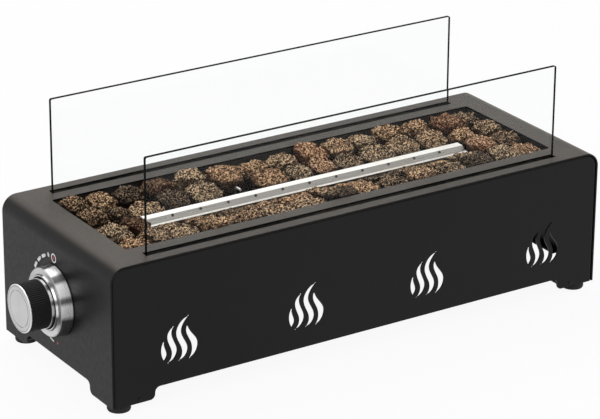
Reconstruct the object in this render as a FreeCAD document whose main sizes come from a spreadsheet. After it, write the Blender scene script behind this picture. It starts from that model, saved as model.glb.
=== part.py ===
"""Tabletop gas fire pit: a bent sheet casing on four rubber feet, with a burner tray of lava rock
between two glass wind guards, and a push-and-turn gas valve at the left end.

Millimetres, +Z up. X runs along the casing, with the knob at the -X end. The front is at -Y.
The origin is on the table, below the middle of the outer box.
"""
import FreeCAD, Part
import math
import os
import random
import re

import Sketcher

DOC = FreeCAD.newDocument("tabletop_fire_pit")
Vector = FreeCAD.Vector
Rotation = FreeCAD.Rotation

# Driving dimensions: alias, value in mm (or a plain count), what it is.
SIZES = [
    ("casing_length", 518, "casing, outside, end to end"),
    ("casing_depth", 195, "casing, outside, front to rear"),
    ("casing_height", 130, "casing, bottom edge of the legs to the top face"),
    ("sheet_gauge", 1.5, "thickness of the casing sheet"),
    ("end_bend", 14, "outside radius where the top bends down into the ends"),
    ("seam_gap", 0.3, "gap between the wrap and the panels inside it"),
    ("panel_bend", 2.5, "outside radius round the face of a panel"),
    ("panel_return", 7, "depth of the edge turned in round a panel"),
    ("skirt_rise", 11, "height of the raised bottom edge between the legs"),
    ("end_return", 8, "edge turned in along the foot of each end, between the legs"),
    ("front_leg", 42, "width of a leg seen from the front"),
    ("end_leg", 40, "width of a leg seen from the end"),
    ("leg_curve", 5, "radius of the two curves beside a leg"),
    ("opening_end", 33, "burner opening to each end of the casing"),
    ("opening_side", 31.5, "burner opening to the front and rear faces"),
    ("opening_corner", 3, "corner radius of the burner opening"),
    ("vent_pitch", 130, "distance between two flame vents"),
    ("vent_count", 4, "flame vents in one panel"),
    ("vent_scale", 1, "size of a flame vent against its drawn size"),
    ("slot_length", 435, "glass slot in the top"),
    ("slot_width", 8, "glass slot in the top, front to rear"),
    ("slot_inset", 14.5, "middle of a glass slot to the front or rear face"),
    ("glass_end_gap", 1.5, "glass to each end of its slot"),
    ("glass_gauge", 3.4, "thickness of the glass"),
    ("glass_rise", 88.2, "glass above the top face"),
    ("glass_corner", 1.8, "corner radius of the glass"),
    ("glass_arris", 0.4, "ground edge round the glass"),
    ("channel_gauge", 1.2, "sheet of the glass channels"),
    ("channel_drop", 15, "inside depth of a glass channel"),
    ("seal_floor", 3, "rubber under the glass"),
    ("seal_height", 12, "rubber profile that holds the glass"),
    ("seal_fit", 0.1, "rubber profile to the channel, each side"),
    ("glass_fit", 0.2, "glass to the rubber, each side"),
    ("tray_overlap", 2, "tray wall outside the edge of the opening"),
    ("tray_gauge", 1, "sheet of the tray"),
    ("tray_drop", 42, "inside depth of the tray"),
    ("tray_flange", 8, "flange of the tray under the top"),
    ("tray_stud_inset", 58, "outer stud of the tray to the end of the tray"),
    ("stud_radius", 1.5, "welded stud"),
    ("stud_reach", 8, "length of a tray stud"),
    ("hole_fit", 0.2, "radial clearance of a screw or stud hole"),
    ("nut_fit", 0.05, "radial clearance of a nut on its thread"),
    ("small_nut_flats", 5.5, "across flats of a small nut"),
    ("small_nut_height", 2.4, "height of a small nut"),
    ("small_head_radius", 2.8, "head of a small screw"),
    ("small_head_height", 1.2, "head of a small screw"),
    ("burner_length", 345, "burner, end to end"),
    ("burner_crest", 8.4, "flat top of the burner"),
    ("burner_slope", 3.6, "width of a sloping side with ports"),
    ("burner_fall", 4.5, "height of a sloping side"),
    ("burner_lip", 3.6, "width of the joined lips"),
    ("burner_end_lip", 1, "joined lips across the ends"),
    ("burner_end_slope", 0.5, "how far an end of the upper half leans in"),
    ("burner_gauge", 0.8, "sheet of the burner"),
    ("burner_recess", 6.1, "burner top below the top face"),
    ("burner_belly", 21.8, "depth of the lower half under its lip"),
    ("burner_draft", 0.4, "how far the lower half narrows on each side"),
    ("port_pitch", 28.8, "distance between two burner ports"),
    ("port_count", 11, "ports in one side of the burner"),
    ("port_radius", 1.1, "burner port"),
    ("port_drop", 1.1, "middle of a burner port below the crest"),
    ("stand_inset", 52.5, "middle of a burner stand to the end of the burner"),
    ("stand_length", 16, "burner stand, along the burner"),
    ("stand_foot", 4.6, "foot turned out at the base of a stand"),
    ("stand_gauge", 1.2, "sheet of the stands and small brackets"),
    ("bolt_radius", 2, "M4 screw or stud"),
    ("bolt_nut_flats", 7, "across flats of an M4 nut"),
    ("bolt_nut_height", 3.2, "height of an M4 nut"),
    ("bolt_head_radius", 3.6, "M4 pan head"),
    ("bolt_head_height", 2.4, "M4 pan head"),
    ("thread_spare", 2, "thread that stands out of a nut"),
    ("foot_height", 8, "rubber foot below the legs"),
    ("foot_radius", 10.5, "rubber foot"),
    ("foot_rounding", 1.6, "rounded lower edge of a foot"),
    ("foot_inset", 13.5, "foot's axis to the two faces of the corner"),
    ("foot_recess", 4.5, "recess for the screw head in a foot"),
    ("foot_recess_radius", 4.6, "recess for the screw head in a foot"),
    ("corner_plate", 30, "foot plate in a corner, each way"),
    ("corner_rise", 20, "upright flange of a foot plate"),
    ("rivet_height", 3.5, "rivet above the bottom edge of the leg"),
    ("rivet_inset", 27, "rivet to the outside of the end"),
    ("rivet_head", 2.1, "radius of a rivet head"),
    ("rivet_dome", 0.7, "height of a rivet head"),
    ("rivet_shank", 1.2, "radius of a rivet shank"),
    ("knob_height", 66.5, "knob axis above the bottom edge of the legs"),
    ("bezel_radius", 32.5, "bezel against the end"),
    ("bezel_front_radius", 30.9, "bezel at its front edge"),
    ("bezel_depth", 11.6, "front face of the bezel to the end of the casing"),
    ("bezel_bore", 23.4, "bezel, inside its front edge"),
    ("bezel_lip_radius", 25.6, "foot of the raised lip round the bore"),
    ("bezel_lip_rise", 1.7, "raised lip above the front face of the bezel"),
    ("bezel_floor", 2, "bezel floor behind the knob"),
    ("bezel_wall", 2, "wall of the bezel"),
    ("bezel_edge", 0.8, "broken edges of the bezel"),
    ("stem_hole", 5.2, "hole round the stem in the bezel and the end"),
    ("knob_projection", 36.5, "front of the knob to the end of the casing"),
    ("knob_radius", 22, "knurled grip"),
    ("knurl_depth", 0.5, "groove between two knurls"),
    ("knurl_count", 72, "knurls round the grip"),
    ("knob_chamfer", 0.8, "front edge of the grip"),
    ("knob_back", 9.2, "back of the knob to the end of the casing"),
    ("knob_skirt", 22.2, "skirt of the grip behind the skirt ring"),
    ("skirt_back", 13.6, "back of the skirt ring to the end of the casing"),
    ("skirt_front", 15.9, "front of the skirt ring to the end of the casing"),
    ("skirt_radius", 22.5, "skirt ring of the knob"),
    ("skirt_front_radius", 22.1, "skirt ring at its front edge"),
    ("skirt_bore", 21.3, "skirt ring on the grip"),
    ("skirt_fit", 0.1, "skirt ring to the grip"),
    ("knob_wall_radius", 18.9, "inside of the hollow grip"),
    ("knob_web", 2, "wall of the grip behind the cap"),
    ("cap_radius", 21.8, "rim of the metal cap, over the front of the grip"),
    ("cap_seat", 19.2, "metal cap inside the grip"),
    ("cap_rim", 1.4, "back of the cap's rim to its front"),
    ("cap_gauge", 2.4, "thickness of the cap"),
    ("cap_fit", 0.1, "cap to the grip"),
    ("cap_groove", 16.3, "inner radius of the groove in the cap"),
    ("cap_groove_width", 0.6, "groove in the cap"),
    ("cap_groove_depth", 0.6, "groove in the cap"),
    ("hub_radius", 6.5, "hub of the grip"),
    ("hub_recess", 1, "hub set back from the back of the grip"),
    ("stem_radius", 3, "valve stem"),
    ("stem_flat", 0.8, "flat on the stem, how far it cuts in"),
    ("stem_end", 27, "outer end of the stem to the end of the casing"),
    ("stem_fit", 0.06, "stem in the grip"),
    ("running_fit", 0.08, "radial clearance of turning parts in the valve"),
    ("push_travel", 4, "how far the knob is pushed in to light"),
    ("collar_radius", 5, "collar of the stem behind the cover plate"),
    ("collar_length", 2, "collar of the stem"),
    ("rest_gap", 0.1, "gap at rest between the collar and the cover plate"),
    ("spindle_radius", 1.8, "stem inside the spring"),
    ("tang_width", 2.6, "flat tang of the stem, thickness"),
    ("tang_span", 6.4, "flat tang of the stem, across"),
    ("tang_fit", 0.2, "tang in the slot of the plug, each side"),
    ("tang_grip", 4.5, "tang inside the slot at rest"),
    ("plug_space", 9, "space for the spring between collar and plug"),
    ("plug_front_radius", 6, "large end of the plug"),
    ("plug_back_radius", 5.2, "small end of the plug"),
    ("plug_length", 16, "tapered plug"),
    ("plug_slot_spare", 1, "slot deeper than the pushed tang"),
    ("spring_radius", 4, "return spring, to the middle of the wire"),
    ("spring_wire", 0.4, "wire radius of the return spring"),
    ("spring_turns", 4, "turns of the return spring"),
    ("cover_gauge", 2, "cover plate of the valve"),
    ("cover_span", 44, "cover plate and flange of the valve, front to rear"),
    ("cover_height", 26, "cover plate and flange of the valve, up and down"),
    ("valve_flange", 3, "flange of the valve body"),
    ("valve_screw_offset", 16.5, "valve screw to the stem"),
    ("barrel_radius", 12, "valve barrel"),
    ("barrel_wall", 5.5, "valve barrel behind the plug"),
    ("chamber_radius", 6.8, "chamber round the spring"),
    ("gallery_radius", 2.5, "gas way in the valve"),
    ("boss_radius", 7.5, "inlet boss of the valve"),
    ("boss_reach", 21, "inlet boss to the stem axis"),
    ("pipe_radius", 4, "supply pipe"),
    ("pipe_wall", 1, "wall of the supply pipe"),
    ("pipe_seat", 7, "how deep the pipe sits in each end"),
    ("pipe_fit", 0.05, "supply pipe in its seats"),
    ("pipe_nut_flats", 15, "nut at each end of the supply pipe"),
    ("pipe_nut_height", 7, "nut at each end of the supply pipe"),
    ("jet_thread", 4, "thread of the jet"),
    ("jet_flats", 10, "hexagon of the jet"),
    ("jet_hex", 4, "hexagon of the jet, along its axis"),
    ("jet_nose", 8, "nose of the jet"),
    ("jet_nose_radius", 3, "nose of the jet, at its hexagon"),
    ("jet_tip_radius", 1.5, "nose of the jet, at its tip"),
    ("jet_orifice", 0.6, "hole in the jet"),
    ("venturi_clear", 0.4, "mixing tube to the walls of the burner"),
    ("venturi_wall", 0.8, "mixing tube"),
    ("venturi_mouth", 11, "flared mouth of the mixing tube"),
    ("venturi_flare", 6, "length of the flared mouth"),
    ("venturi_overlap", 3, "jet nose inside the mouth"),
    ("riser_inset", 19.6, "riser of the mixing tube to the end of the burner"),
    ("venturi_bend", 17, "bend of the mixing tube"),
    ("venturi_entry", 2, "mixing tube inside the burner"),
    ("collar_flange", 13, "collar of the mixing tube under the tray"),
    ("inlet_thread", 7.94, "gas inlet, 5/8 inch thread of a 3/8 inch flare"),
    ("inlet_thread_length", 14, "free thread of the gas inlet"),
    ("inlet_cone", 2.5, "flare cone of the gas inlet"),
    ("inlet_bore", 4.5, "gas way of the inlet"),
    ("inlet_setback", 4, "end of the inlet inside the rear face"),
    ("inlet_flats", 19, "hexagon of the gas inlet"),
    ("inlet_hex", 6, "hexagon of the gas inlet, along its axis"),
    ("inlet_locknut_flats", 22, "locknut of the gas inlet"),
    ("inlet_locknut_height", 4.5, "locknut of the gas inlet"),
    ("inlet_neck", 7.4, "thread inside the bracket and the locknut"),
    ("inlet_port", 15, "hole in the rear panel round the inlet"),
    ("inlet_plate", 34, "bracket of the inlet, up and down"),
    ("inlet_plate_margin", 6, "bracket of the inlet past its thread"),
    ("inlet_plate_foot", 15, "welded foot of the inlet bracket"),
    ("piezo_size", 14, "igniter unit, across"),
    ("piezo_base", 12, "square end of the igniter unit"),
    ("piezo_barrel", 6.3, "radius of the round body of the igniter unit"),
    ("piezo_length", 30, "igniter unit, along the valve"),
    ("piezo_terminal", 4, "terminal of the igniter unit"),
    ("piezo_pin", 2.2, "radius of the terminal of the igniter unit"),
    ("lead_radius", 1.5, "ignition lead"),
    ("lead_stub", 20, "straight of the lead at each end"),
    ("boot_radius", 3, "rubber boot on the electrode's terminal"),
    ("boot_reach", 9, "side branch of the boot, where the lead comes in"),
    ("boot_branch", 2.4, "radius of the side branch of the boot"),
    ("clip_wall", 0.8, "clip round the ignition lead"),
    ("clip_length", 5, "clip round the ignition lead, along it"),
    ("clip_tab", 4, "tab of a clip, along the lead"),
    ("electrode_offset", 62, "electrode to the middle of the casing, to the left"),
    ("electrode_depth", 23, "electrode to the middle of the burner, to the rear"),
    ("electrode_rod", 1.2, "electrode rod"),
    ("electrode_height", 32, "electrode rod above the tray floor"),
    ("electrode_bend", 4, "bend of the electrode rod"),
    ("spark_gap", 6, "tip of the electrode to the burner's slope"),
    ("insulator_radius", 3.5, "ceramic of the electrode"),
    ("insulator_rise", 22, "ceramic above the tray floor"),
    ("insulator_tail", 9, "ceramic below the tray"),
    ("insulator_collar", 5.2, "collar of the ceramic"),
    ("insulator_collar_height", 3, "collar of the ceramic"),
    ("insulator_nose", 1, "bevel at the top of the ceramic"),
    ("terminal_length", 6, "rod below the ceramic"),
    ("bracket_width", 12, "electrode bracket"),
    ("bracket_reach", 13, "electrode bracket, from the ceramic to its screw"),
    ("rock_gap", 0.6, "gap between neighbouring rocks"),
    ("rock_pitch", 31, "usual size of an upper rock"),
    ("lower_rock_pitch", 36, "usual size of a lower rock"),
    ("rock_rise", 2, "usual top of the rocks above the top face"),
    ("rock_fullness", 1.13, "how fully an upper rock fills its share of the bed"),
    ("lower_rock_fullness", 1.12, "how fully a lower rock fills its share of the bed"),
    ("wall_fullness", 1.14, "how much more fully a rock fills its share along the tray wall"),
    ("rock_base", 18, "height of the lower rocks"),
    ("rock_spread", 3, "how far rock tops differ in height"),
    ("rock_lean", 18, "slope of the rocks down to the burner, in degrees"),
    ("rock_bank", 0.5, "usual top of the rocks beside the burner above its lips"),
    ("rock_margin", 0.8, "rocks to the burner and to the edge of the opening"),
    ("electrode_clear", 8, "space left free of rocks round the electrode"),
]

# Places worked out from the sizes: name, formula.
PLACES = [
    ("casing_mid", "knob_projection / 2"),
    ("left_end", "casing_mid - casing_length / 2"),
    ("right_end", "casing_mid + casing_length / 2"),
    ("front_face", "-casing_depth / 2"),
    ("top_face", "foot_height + casing_height"),
    ("top_under", "top_face - sheet_gauge"),
    ("tray_floor", "top_under - tray_drop"),
    ("tray_under", "tray_floor - tray_gauge"),
    ("opening_length", "casing_length - 2 * opening_end"),
    ("opening_depth", "casing_depth - 2 * opening_side"),
    ("tray_inside_length", "opening_length + 2 * tray_overlap"),
    ("tray_inside_depth", "opening_depth + 2 * tray_overlap"),
    ("tray_stud_row", "tray_inside_depth / 2 + tray_gauge + (tray_flange - tray_gauge) / 2"),
    ("tray_stud_pitch", "tray_inside_length / 2 - tray_stud_inset"),
    ("slot_offset", "casing_depth / 2 - slot_inset"),
    ("glass_length", "slot_length - 2 * glass_end_gap"),
    ("channel_floor", "top_under - channel_drop"),
    ("glass_bottom", "channel_floor + seal_floor"),
    ("burner_top", "top_face - burner_recess"),
    ("lip_top", "burner_top - burner_fall"),
    ("lip_joint", "lip_top - burner_gauge"),
    ("burner_bottom", "lip_joint - burner_gauge - burner_belly"),
    ("shoulder_half", "burner_crest / 2 + burner_slope"),
    ("lip_half", "shoulder_half + burner_lip"),
    ("burner_port_y", "burner_crest / 2 + burner_slope * port_drop / burner_fall"),
    ("stand_height", "burner_bottom - tray_floor"),
    ("stand_spacing", "burner_length - 2 * stand_inset"),
    ("venturi_radius", "shoulder_half - burner_draft - burner_gauge - venturi_clear"),
    ("axis_z", "foot_height + knob_height"),
    ("cover_back", "-sheet_gauge - cover_gauge"),
    ("collar_front", "cover_back - rest_gap"),
    ("collar_back", "collar_front - collar_length"),
    ("plug_front", "collar_back - plug_space"),
    ("plug_back", "plug_front - plug_length"),
    ("barrel_back", "plug_back - barrel_wall"),
    ("jet_tip", "barrel_back - jet_hex - jet_nose"),
    ("tang_end", "plug_front - tang_grip"),
    ("spindle_start", "plug_front + push_travel + rest_gap"),
    ("slot_end", "tang_end - push_travel - plug_slot_spare"),
    ("port_x", "left_end - plug_front + plug_length / 2"),
    ("mouth_x", "left_end - jet_tip - venturi_overlap"),
    ("riser_x", "casing_mid - burner_length / 2 + riser_inset"),
    ("elbow_x", "riser_x - venturi_bend"),
    ("venturi_run", "elbow_x - mouth_x"),
    ("inlet_tip", "casing_depth / 2 - inlet_setback"),
    ("inlet_plate_y", "inlet_tip - inlet_cone - inlet_thread_length - inlet_locknut_height - stand_gauge"),
    ("inlet_hex_y", "inlet_plate_y - inlet_hex"),
    ("inlet_tail_y", "inlet_hex_y - pipe_nut_height / 2"),
    ("electrode_x", "casing_mid - electrode_offset"),
    ("terminal_z", "tray_under - insulator_tail - terminal_length"),
    ("piezo_x", "left_end - cover_back + valve_flange"),
    ("piezo_y", "-barrel_radius - piezo_size / 2"),
    ("lead_start_x", "piezo_x + piezo_length + piezo_terminal"),
    ("lead_end_x", "electrode_x - boot_reach"),
    ("foot_x", "casing_length / 2 - foot_inset"),
    ("foot_y", "casing_depth / 2 - foot_inset"),
]

THROUGH = 3  # how far a cutting tool passes the face that it cuts

# Turns of a piece that is drawn along its own Z, named by where that Z then points.
TURNS = {
    "Z": Rotation(),
    "-Z": Rotation(Vector(1, 0, 0), 180),
    "X": Rotation(Vector(1, 1, 1), 120),
    "-X": Rotation(Vector(0, 1, 0), -90),
    "Y": Rotation(Vector(1, 0, 0), -90),
    "-Y": Rotation(Vector(1, 0, 0), 90),
}

CELLS = {}


def fill_sheets():
    """Write the driving sizes and the places that follow from them into two sheets."""
    driving = DOC.addObject("Spreadsheet::Sheet", "dim")
    for row, (alias, value, note) in enumerate(SIZES, 1):
        driving.set(f"A{row}", str(value))
        driving.set(f"B{row}", note)
        driving.setAlias(f"A{row}", alias)
        CELLS[alias] = driving
    DOC.recompute()
    places = DOC.addObject("Spreadsheet::Sheet", "at")
    for row, (alias, formula) in enumerate(PLACES, 1):
        places.set(f"A{row}", "=" + refs(formula))
        places.setAlias(f"A{row}", alias)
        CELLS[alias] = places
        DOC.recompute()


def refs(text):
    """Turn each bare name in a formula into a reference to its sheet."""
    return re.sub(r"[a-z]\w*", lambda name: f"{CELLS[name.group()].Name}.{name.group()}", str(text))


def size(alias):
    """The value of one cell as a number."""
    return float(CELLS[alias].get(alias))


def bind(thing, **formulas):
    """Bind properties of a document object to formulas."""
    for prop, formula in formulas.items():
        thing.setExpression(prop, refs(formula))


def place(thing, x, y, z, axis="Z"):
    """Stand an object's own origin at x, y, z with its own Z along the axis."""
    thing.Placement = FreeCAD.Placement(Vector(), TURNS[axis])
    for coordinate, formula in zip("xyz", (x, y, z)):
        thing.setExpression("Placement.Base." + coordinate, refs(formula))
    return thing


# ---- simple solids ----------------------------------------------------------------------------

def box(name, length, depth, height, x, y, z):
    """A box centred on x and y, with its base at z."""
    block = DOC.addObject("Part::Box", name)
    bind(block, Length=length, Width=depth, Height=height)
    return place(block, f"{x} - ({length}) / 2", f"{y} - ({depth}) / 2", z)


def rod(name, radius, length, x, y, z, axis="Z"):
    """A cylinder that starts at x, y, z and runs along the axis."""
    bar = DOC.addObject("Part::Cylinder", name)
    bind(bar, Radius=radius, Height=length)
    return place(bar, x, y, z, axis)


def taper(name, start, end, length, x, y, z, axis="Z"):
    """A cone that starts at x, y, z with one radius and ends with the other."""
    frustum = DOC.addObject("Part::Cone", name)
    bind(frustum, Radius1=start, Radius2=end, Height=length)
    return place(frustum, x, y, z, axis)


def hexagon(name, flats, length, x, y, z, axis="Z"):
    """A six-sided prism given by the distance across its flats."""
    prism = DOC.addObject("Part::Prism", name)
    prism.Polygon = 6
    bind(prism, Circumradius=f"({flats}) / {math.sqrt(3)}", Height=length)
    return place(prism, x, y, z, axis)


def quarter_bend(name, bend, radius, x, y, z, axis="Z"):
    """A quarter of a ring about the given centre."""
    ring = DOC.addObject("Part::Torus", name)
    bind(ring, Radius1=bend, Radius2=radius)
    ring.Angle3 = 90
    return place(ring, x, y, z, axis)


def fuse(name, *pieces):
    """One solid from several."""
    joined = DOC.addObject("Part::MultiFuse", name)
    joined.Shapes = list(pieces)
    joined.Refine = True
    return joined


def cut(name, base, *tools):
    """A base less its tools."""
    left = DOC.addObject("Part::Cut", name)
    left.Base = base
    left.Tool = tools[0] if len(tools) == 1 else group(name + "_tools", *tools)
    return left


def group(name, *pieces):
    """Several separate solids in one object."""
    several = DOC.addObject("Part::Compound", name)
    several.Links = list(pieces)
    return several


def drawn(name, role, points):
    """A body with a closed sketch of straight lines whose corners are bound to formulas."""
    body = DOC.addObject("PartDesign::Body", name)
    sketch = body.newObject("Sketcher::SketchObject", name + "_sketch")
    planes = [feature for feature in body.Origin.OriginFeatures if feature.Role == role]
    sketch.AttachmentSupport = [(planes[0], "")]
    sketch.MapMode = "FlatFace"
    corners = [(number(across), number(up)) for across, up in points]
    for here, there in zip(corners, corners[1:] + corners[:1]):
        sketch.addGeometry(Part.LineSegment(Vector(*here, 0), Vector(*there, 0)), False)
    for line in range(len(points)):
        sketch.addConstraint(Sketcher.Constraint("Coincident", line, 2, (line + 1) % len(points), 1))
    for line, point in enumerate(points):
        for kind, formula, value in zip(("DistanceX", "DistanceY"), point, corners[line]):
            added = sketch.addConstraint(Sketcher.Constraint(kind, -1, 1, line, 1, value))
            sketch.setExpression(f"Constraints[{added}]", refs(formula))
    return body, sketch


def number(formula):
    """What a formula comes to, worked out in a spare cell."""
    spare = DOC.getObject("spare") or DOC.addObject("Spreadsheet::Sheet", "spare")
    spare.set("A1", "=" + refs(formula))
    spare.recompute()
    return float(spare.get("A1"))


def turned(name, points, x, y, z, axis="Z"):
    """A solid of revolution about the axis. Each point is a radius and a distance along the axis."""
    body, sketch = drawn(name, "XZ_Plane", points)
    spin = body.newObject("PartDesign::Revolution", name + "_spin")
    spin.Profile = sketch
    spin.ReferenceAxis = (sketch, ["V_Axis"])
    spin.Angle = 360
    return place(body, x, y, z, axis)


def pressed(name, points, length, x, y, z, axis="Z"):
    """A prism of a drawn section, run along the axis."""
    body, sketch = drawn(name, "XY_Plane", points)
    pad = body.newObject("PartDesign::Pad", name + "_pad")
    pad.Profile = sketch
    bind(pad, Length=length)
    return place(body, x, y, z, axis)


def rounded(body, radius, test):
    """Round the edges of a body's last feature that pass the test."""
    DOC.recompute()
    tip = body.Tip
    chosen = [f"Edge{at}" for at, edge in enumerate(tip.Shape.Edges, 1) if test(edge)]
    fillet = body.newObject("PartDesign::Fillet", body.Name + "_fillet")
    fillet.Base = (tip, chosen)
    bind(fillet, Radius=radius)
    return body


def block(name, length, depth, height, x, y, z):
    """A body that starts as a box centred on x and y, with its base at z."""
    body = DOC.addObject("PartDesign::Body", name)
    start = body.newObject("PartDesign::AdditiveBox", name + "_box")
    bind(start, Length=length, Width=depth, Height=height)
    return place(body, f"{x} - ({length}) / 2", f"{y} - ({depth}) / 2", z)


def runs_along(edge, axis):
    """True for a straight edge along X, Y or Z."""
    across = [edge.BoundBox.XLength, edge.BoundBox.YLength, edge.BoundBox.ZLength]
    longest = across.pop("XYZ".index(axis))
    return longest > 1e-6 and max(across) < 1e-6


def arched_block(name, length, depth, height, radius, x, y, z):
    """A block whose two top edges along Y are rounded."""
    body = block(name, length, depth, height, x, y, z)
    DOC.recompute()
    top = body.Shape.BoundBox.ZMax
    base = body.Placement.Base.z
    return rounded(body, radius, lambda edge: runs_along(edge, "Y") and edge.BoundBox.ZMin > top - base - 1e-6)


# ---- fasteners --------------------------------------------------------------------------------

def nut(name, flats, height, bore, x, y, z, axis="Z"):
    """A hexagon nut that starts at x, y, z."""
    blank = hexagon(name + "_blank", flats, height, x, y, z, axis)
    hole = rod(name + "_hole", f"{bore} + nut_fit", height, x, y, z, axis)
    return cut(name, blank, hole)


def pan_screw(name, length, x, y, z, axis):
    """An M4 pan head screw. The underside of its head is at x, y, z and the head points along the axis."""
    points = [
        ("0", f"-({length})"),
        ("bolt_radius", f"-({length})"),
        ("bolt_radius", "0"),
        ("bolt_head_radius", "0"),
        ("bolt_head_radius", "bolt_head_height / 2"),
        ("bolt_head_radius * 0.7", "bolt_head_height"),
        ("0", "bolt_head_height"),
    ]
    return turned(name, points, x, y, z, axis)


# ---- casing -----------------------------------------------------------------------------------

def leg_gap(name, span, leg, depth, x, y, z, axis):
    """The tool that cuts the raised bottom edge between two legs, with its four curves."""
    half = f"({span}) / 2 - {leg}"
    wide = f"{half} + leg_curve + {THROUGH}"
    points = [
        (f"-({wide})", f"-{THROUGH}"),
        (wide, f"-{THROUGH}"),
        (wide, "0"),
        (half, "0"),
        (half, "skirt_rise"),
        (f"-({half})", "skirt_rise"),
        (f"-({half})", "0"),
        (f"-({wide})", "0"),
    ]
    tool = pressed(name, points, depth, x, y, z, axis)
    reach = number(half) + 1e-6
    return rounded(
        tool,
        "leg_curve",
        lambda edge: runs_along(edge, "Z")
        and abs(edge.BoundBox.XMin) < reach
        and edge.BoundBox.YMin > -1e-6,
    )


def wrap_shell():
    """The top and both ends, bent from one sheet, with legs, the burner opening and two glass slots."""
    outside = arched_block(
        "wrap_outside", "casing_length", "casing_depth", "casing_height", "end_bend",
        "casing_mid", "0", "foot_height",
    )
    inside = arched_block(
        "wrap_inside", "casing_length - 2 * sheet_gauge", f"casing_depth + 2 * {THROUGH}",
        f"casing_height - sheet_gauge + {THROUGH}", "end_bend - sheet_gauge",
        "casing_mid", "0", f"foot_height - {THROUGH}",
    )
    opening = block(
        "top_opening", "opening_length", "opening_depth", f"sheet_gauge + 2 * {THROUGH}",
        "casing_mid", "0", f"top_under - {THROUGH}",
    )
    rounded(opening, "opening_corner", lambda edge: runs_along(edge, "Z"))
    slots = [
        box(f"glass_slot_{side}", "slot_length", "slot_width", f"sheet_gauge + 2 * {THROUGH}",
            "casing_mid", f"{sign}slot_offset", f"top_under - {THROUGH}")
        for side, sign in (("front", "-"), ("rear", ""))
    ]
    legs = leg_gap(
        "end_leg_gap", "casing_depth", "end_leg", f"casing_length + 2 * {THROUGH}",
        f"left_end - {THROUGH}", "0", "foot_height", "X",
    )
    stem = rod("end_stem_hole", "stem_hole", f"sheet_gauge + 2 * {THROUGH}",
               f"left_end - {THROUGH}", "0", "axis_z", "X")
    screws = [
        rod(f"end_screw_hole_{side}", "bolt_radius + hole_fit", f"sheet_gauge + 2 * {THROUGH}",
            f"left_end - {THROUGH}", f"{sign}valve_screw_offset", "axis_z", "X")
        for side, sign in (("front", "-"), ("rear", ""))
    ]
    bend = cut("wrap_bend", outside, inside, opening, *slots, legs, stem, *screws)
    returns = [
        box(f"end_return_{end}", "end_return", "casing_depth - 2 * (end_leg + 2 * leg_curve)", "sheet_gauge",
            f"{end}_end + {sign}(sheet_gauge + end_return / 2)", "0", "foot_height + skirt_rise")
        for end, sign in (("left", ""), ("right", "-"))
    ]
    return fuse("wrap_shell", bend, *returns)


# A flame figure of four strokes, each given by its two tips and the points of its left and right sides.
FLAME = [
    {"foot": (-12.5, 34.7), "left": [(-15.3, 40), (-15.5, 45)], "tip": (-13, 50.3), "right": [(-11.5, 45), (-9.8, 39.2)]},
    {"foot": (-8.5, 30.6), "left": [(-5.7, 35), (-5, 40.5), (-7.2, 47), (-9.2, 53.5)], "tip": (-3.2, 63),
     "right": [(-4.5, 56), (-2.1, 48.6), (0.4, 40.3), (-1.9, 34.2)]},
    {"foot": (2.5, 30.6), "left": [(5, 35.5), (5, 41), (1.6, 49), (-0.4, 57), (3.8, 66)], "tip": (11.9, 70),
     "right": [(7.5, 64.2), (5, 57), (8.2, 48), (11.1, 39.3), (8.4, 33)]},
    {"foot": (13.1, 30.4), "left": [(15, 37), (14, 45.5), (9.9, 54.5)], "tip": (10.7, 60.1),
     "right": [(15.5, 53), (21, 44), (19.2, 34.8)]},
]
TIP_ROUND = 1  # half of the rounded end of a stroke


def flame_stroke(stroke, scale, depth):
    """One stroke of the flame figure as a prism: two smooth sides between two narrow rounded ends."""
    foot, tip = (Vector(x * scale, 0, z * scale) for x, z in (stroke["foot"], stroke["tip"]))
    nib = Vector(TIP_ROUND * scale, 0, 0)
    sides = []
    for side, shift in (("left", -nib), ("right", nib)):
        middle = [Vector(x * scale, 0, z * scale) for x, z in stroke[side]]
        if side == "right":
            middle.reverse()
        curve = Part.BSplineCurve()
        curve.interpolate([foot + shift] + middle + [tip + shift])
        sides.append(curve.toShape())
    ends = [
        Part.Arc(spot - nib, spot + Vector(0, 0, lift * TIP_ROUND * scale), spot + nib).toShape()
        for spot, lift in ((foot, -1), (tip, 1))
    ]
    outline = Part.Wire(Part.__sortEdges__(sides + ends))
    return Part.Face(outline).extrude(Vector(0, depth, 0))


def flame_vents():
    """The cutting tools of all the flame vents in one panel, drawn about the panel's middle."""
    vents = DOC.addObject("Part::Feature", "flame_vents")
    depth = size("sheet_gauge") + 2 * THROUGH
    strokes = [flame_stroke(stroke, size("vent_scale"), depth) for stroke in FLAME]
    middle = (size("vent_count") - 1) / 2
    tools = []
    for place_in_row in range(int(size("vent_count"))):
        shift = Vector((place_in_row - middle) * size("vent_pitch"), -THROUGH, 0)
        for stroke in strokes:
            tools.append(stroke.translated(shift))
    vents.Shape = Part.makeCompound(tools)
    return vents


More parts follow.
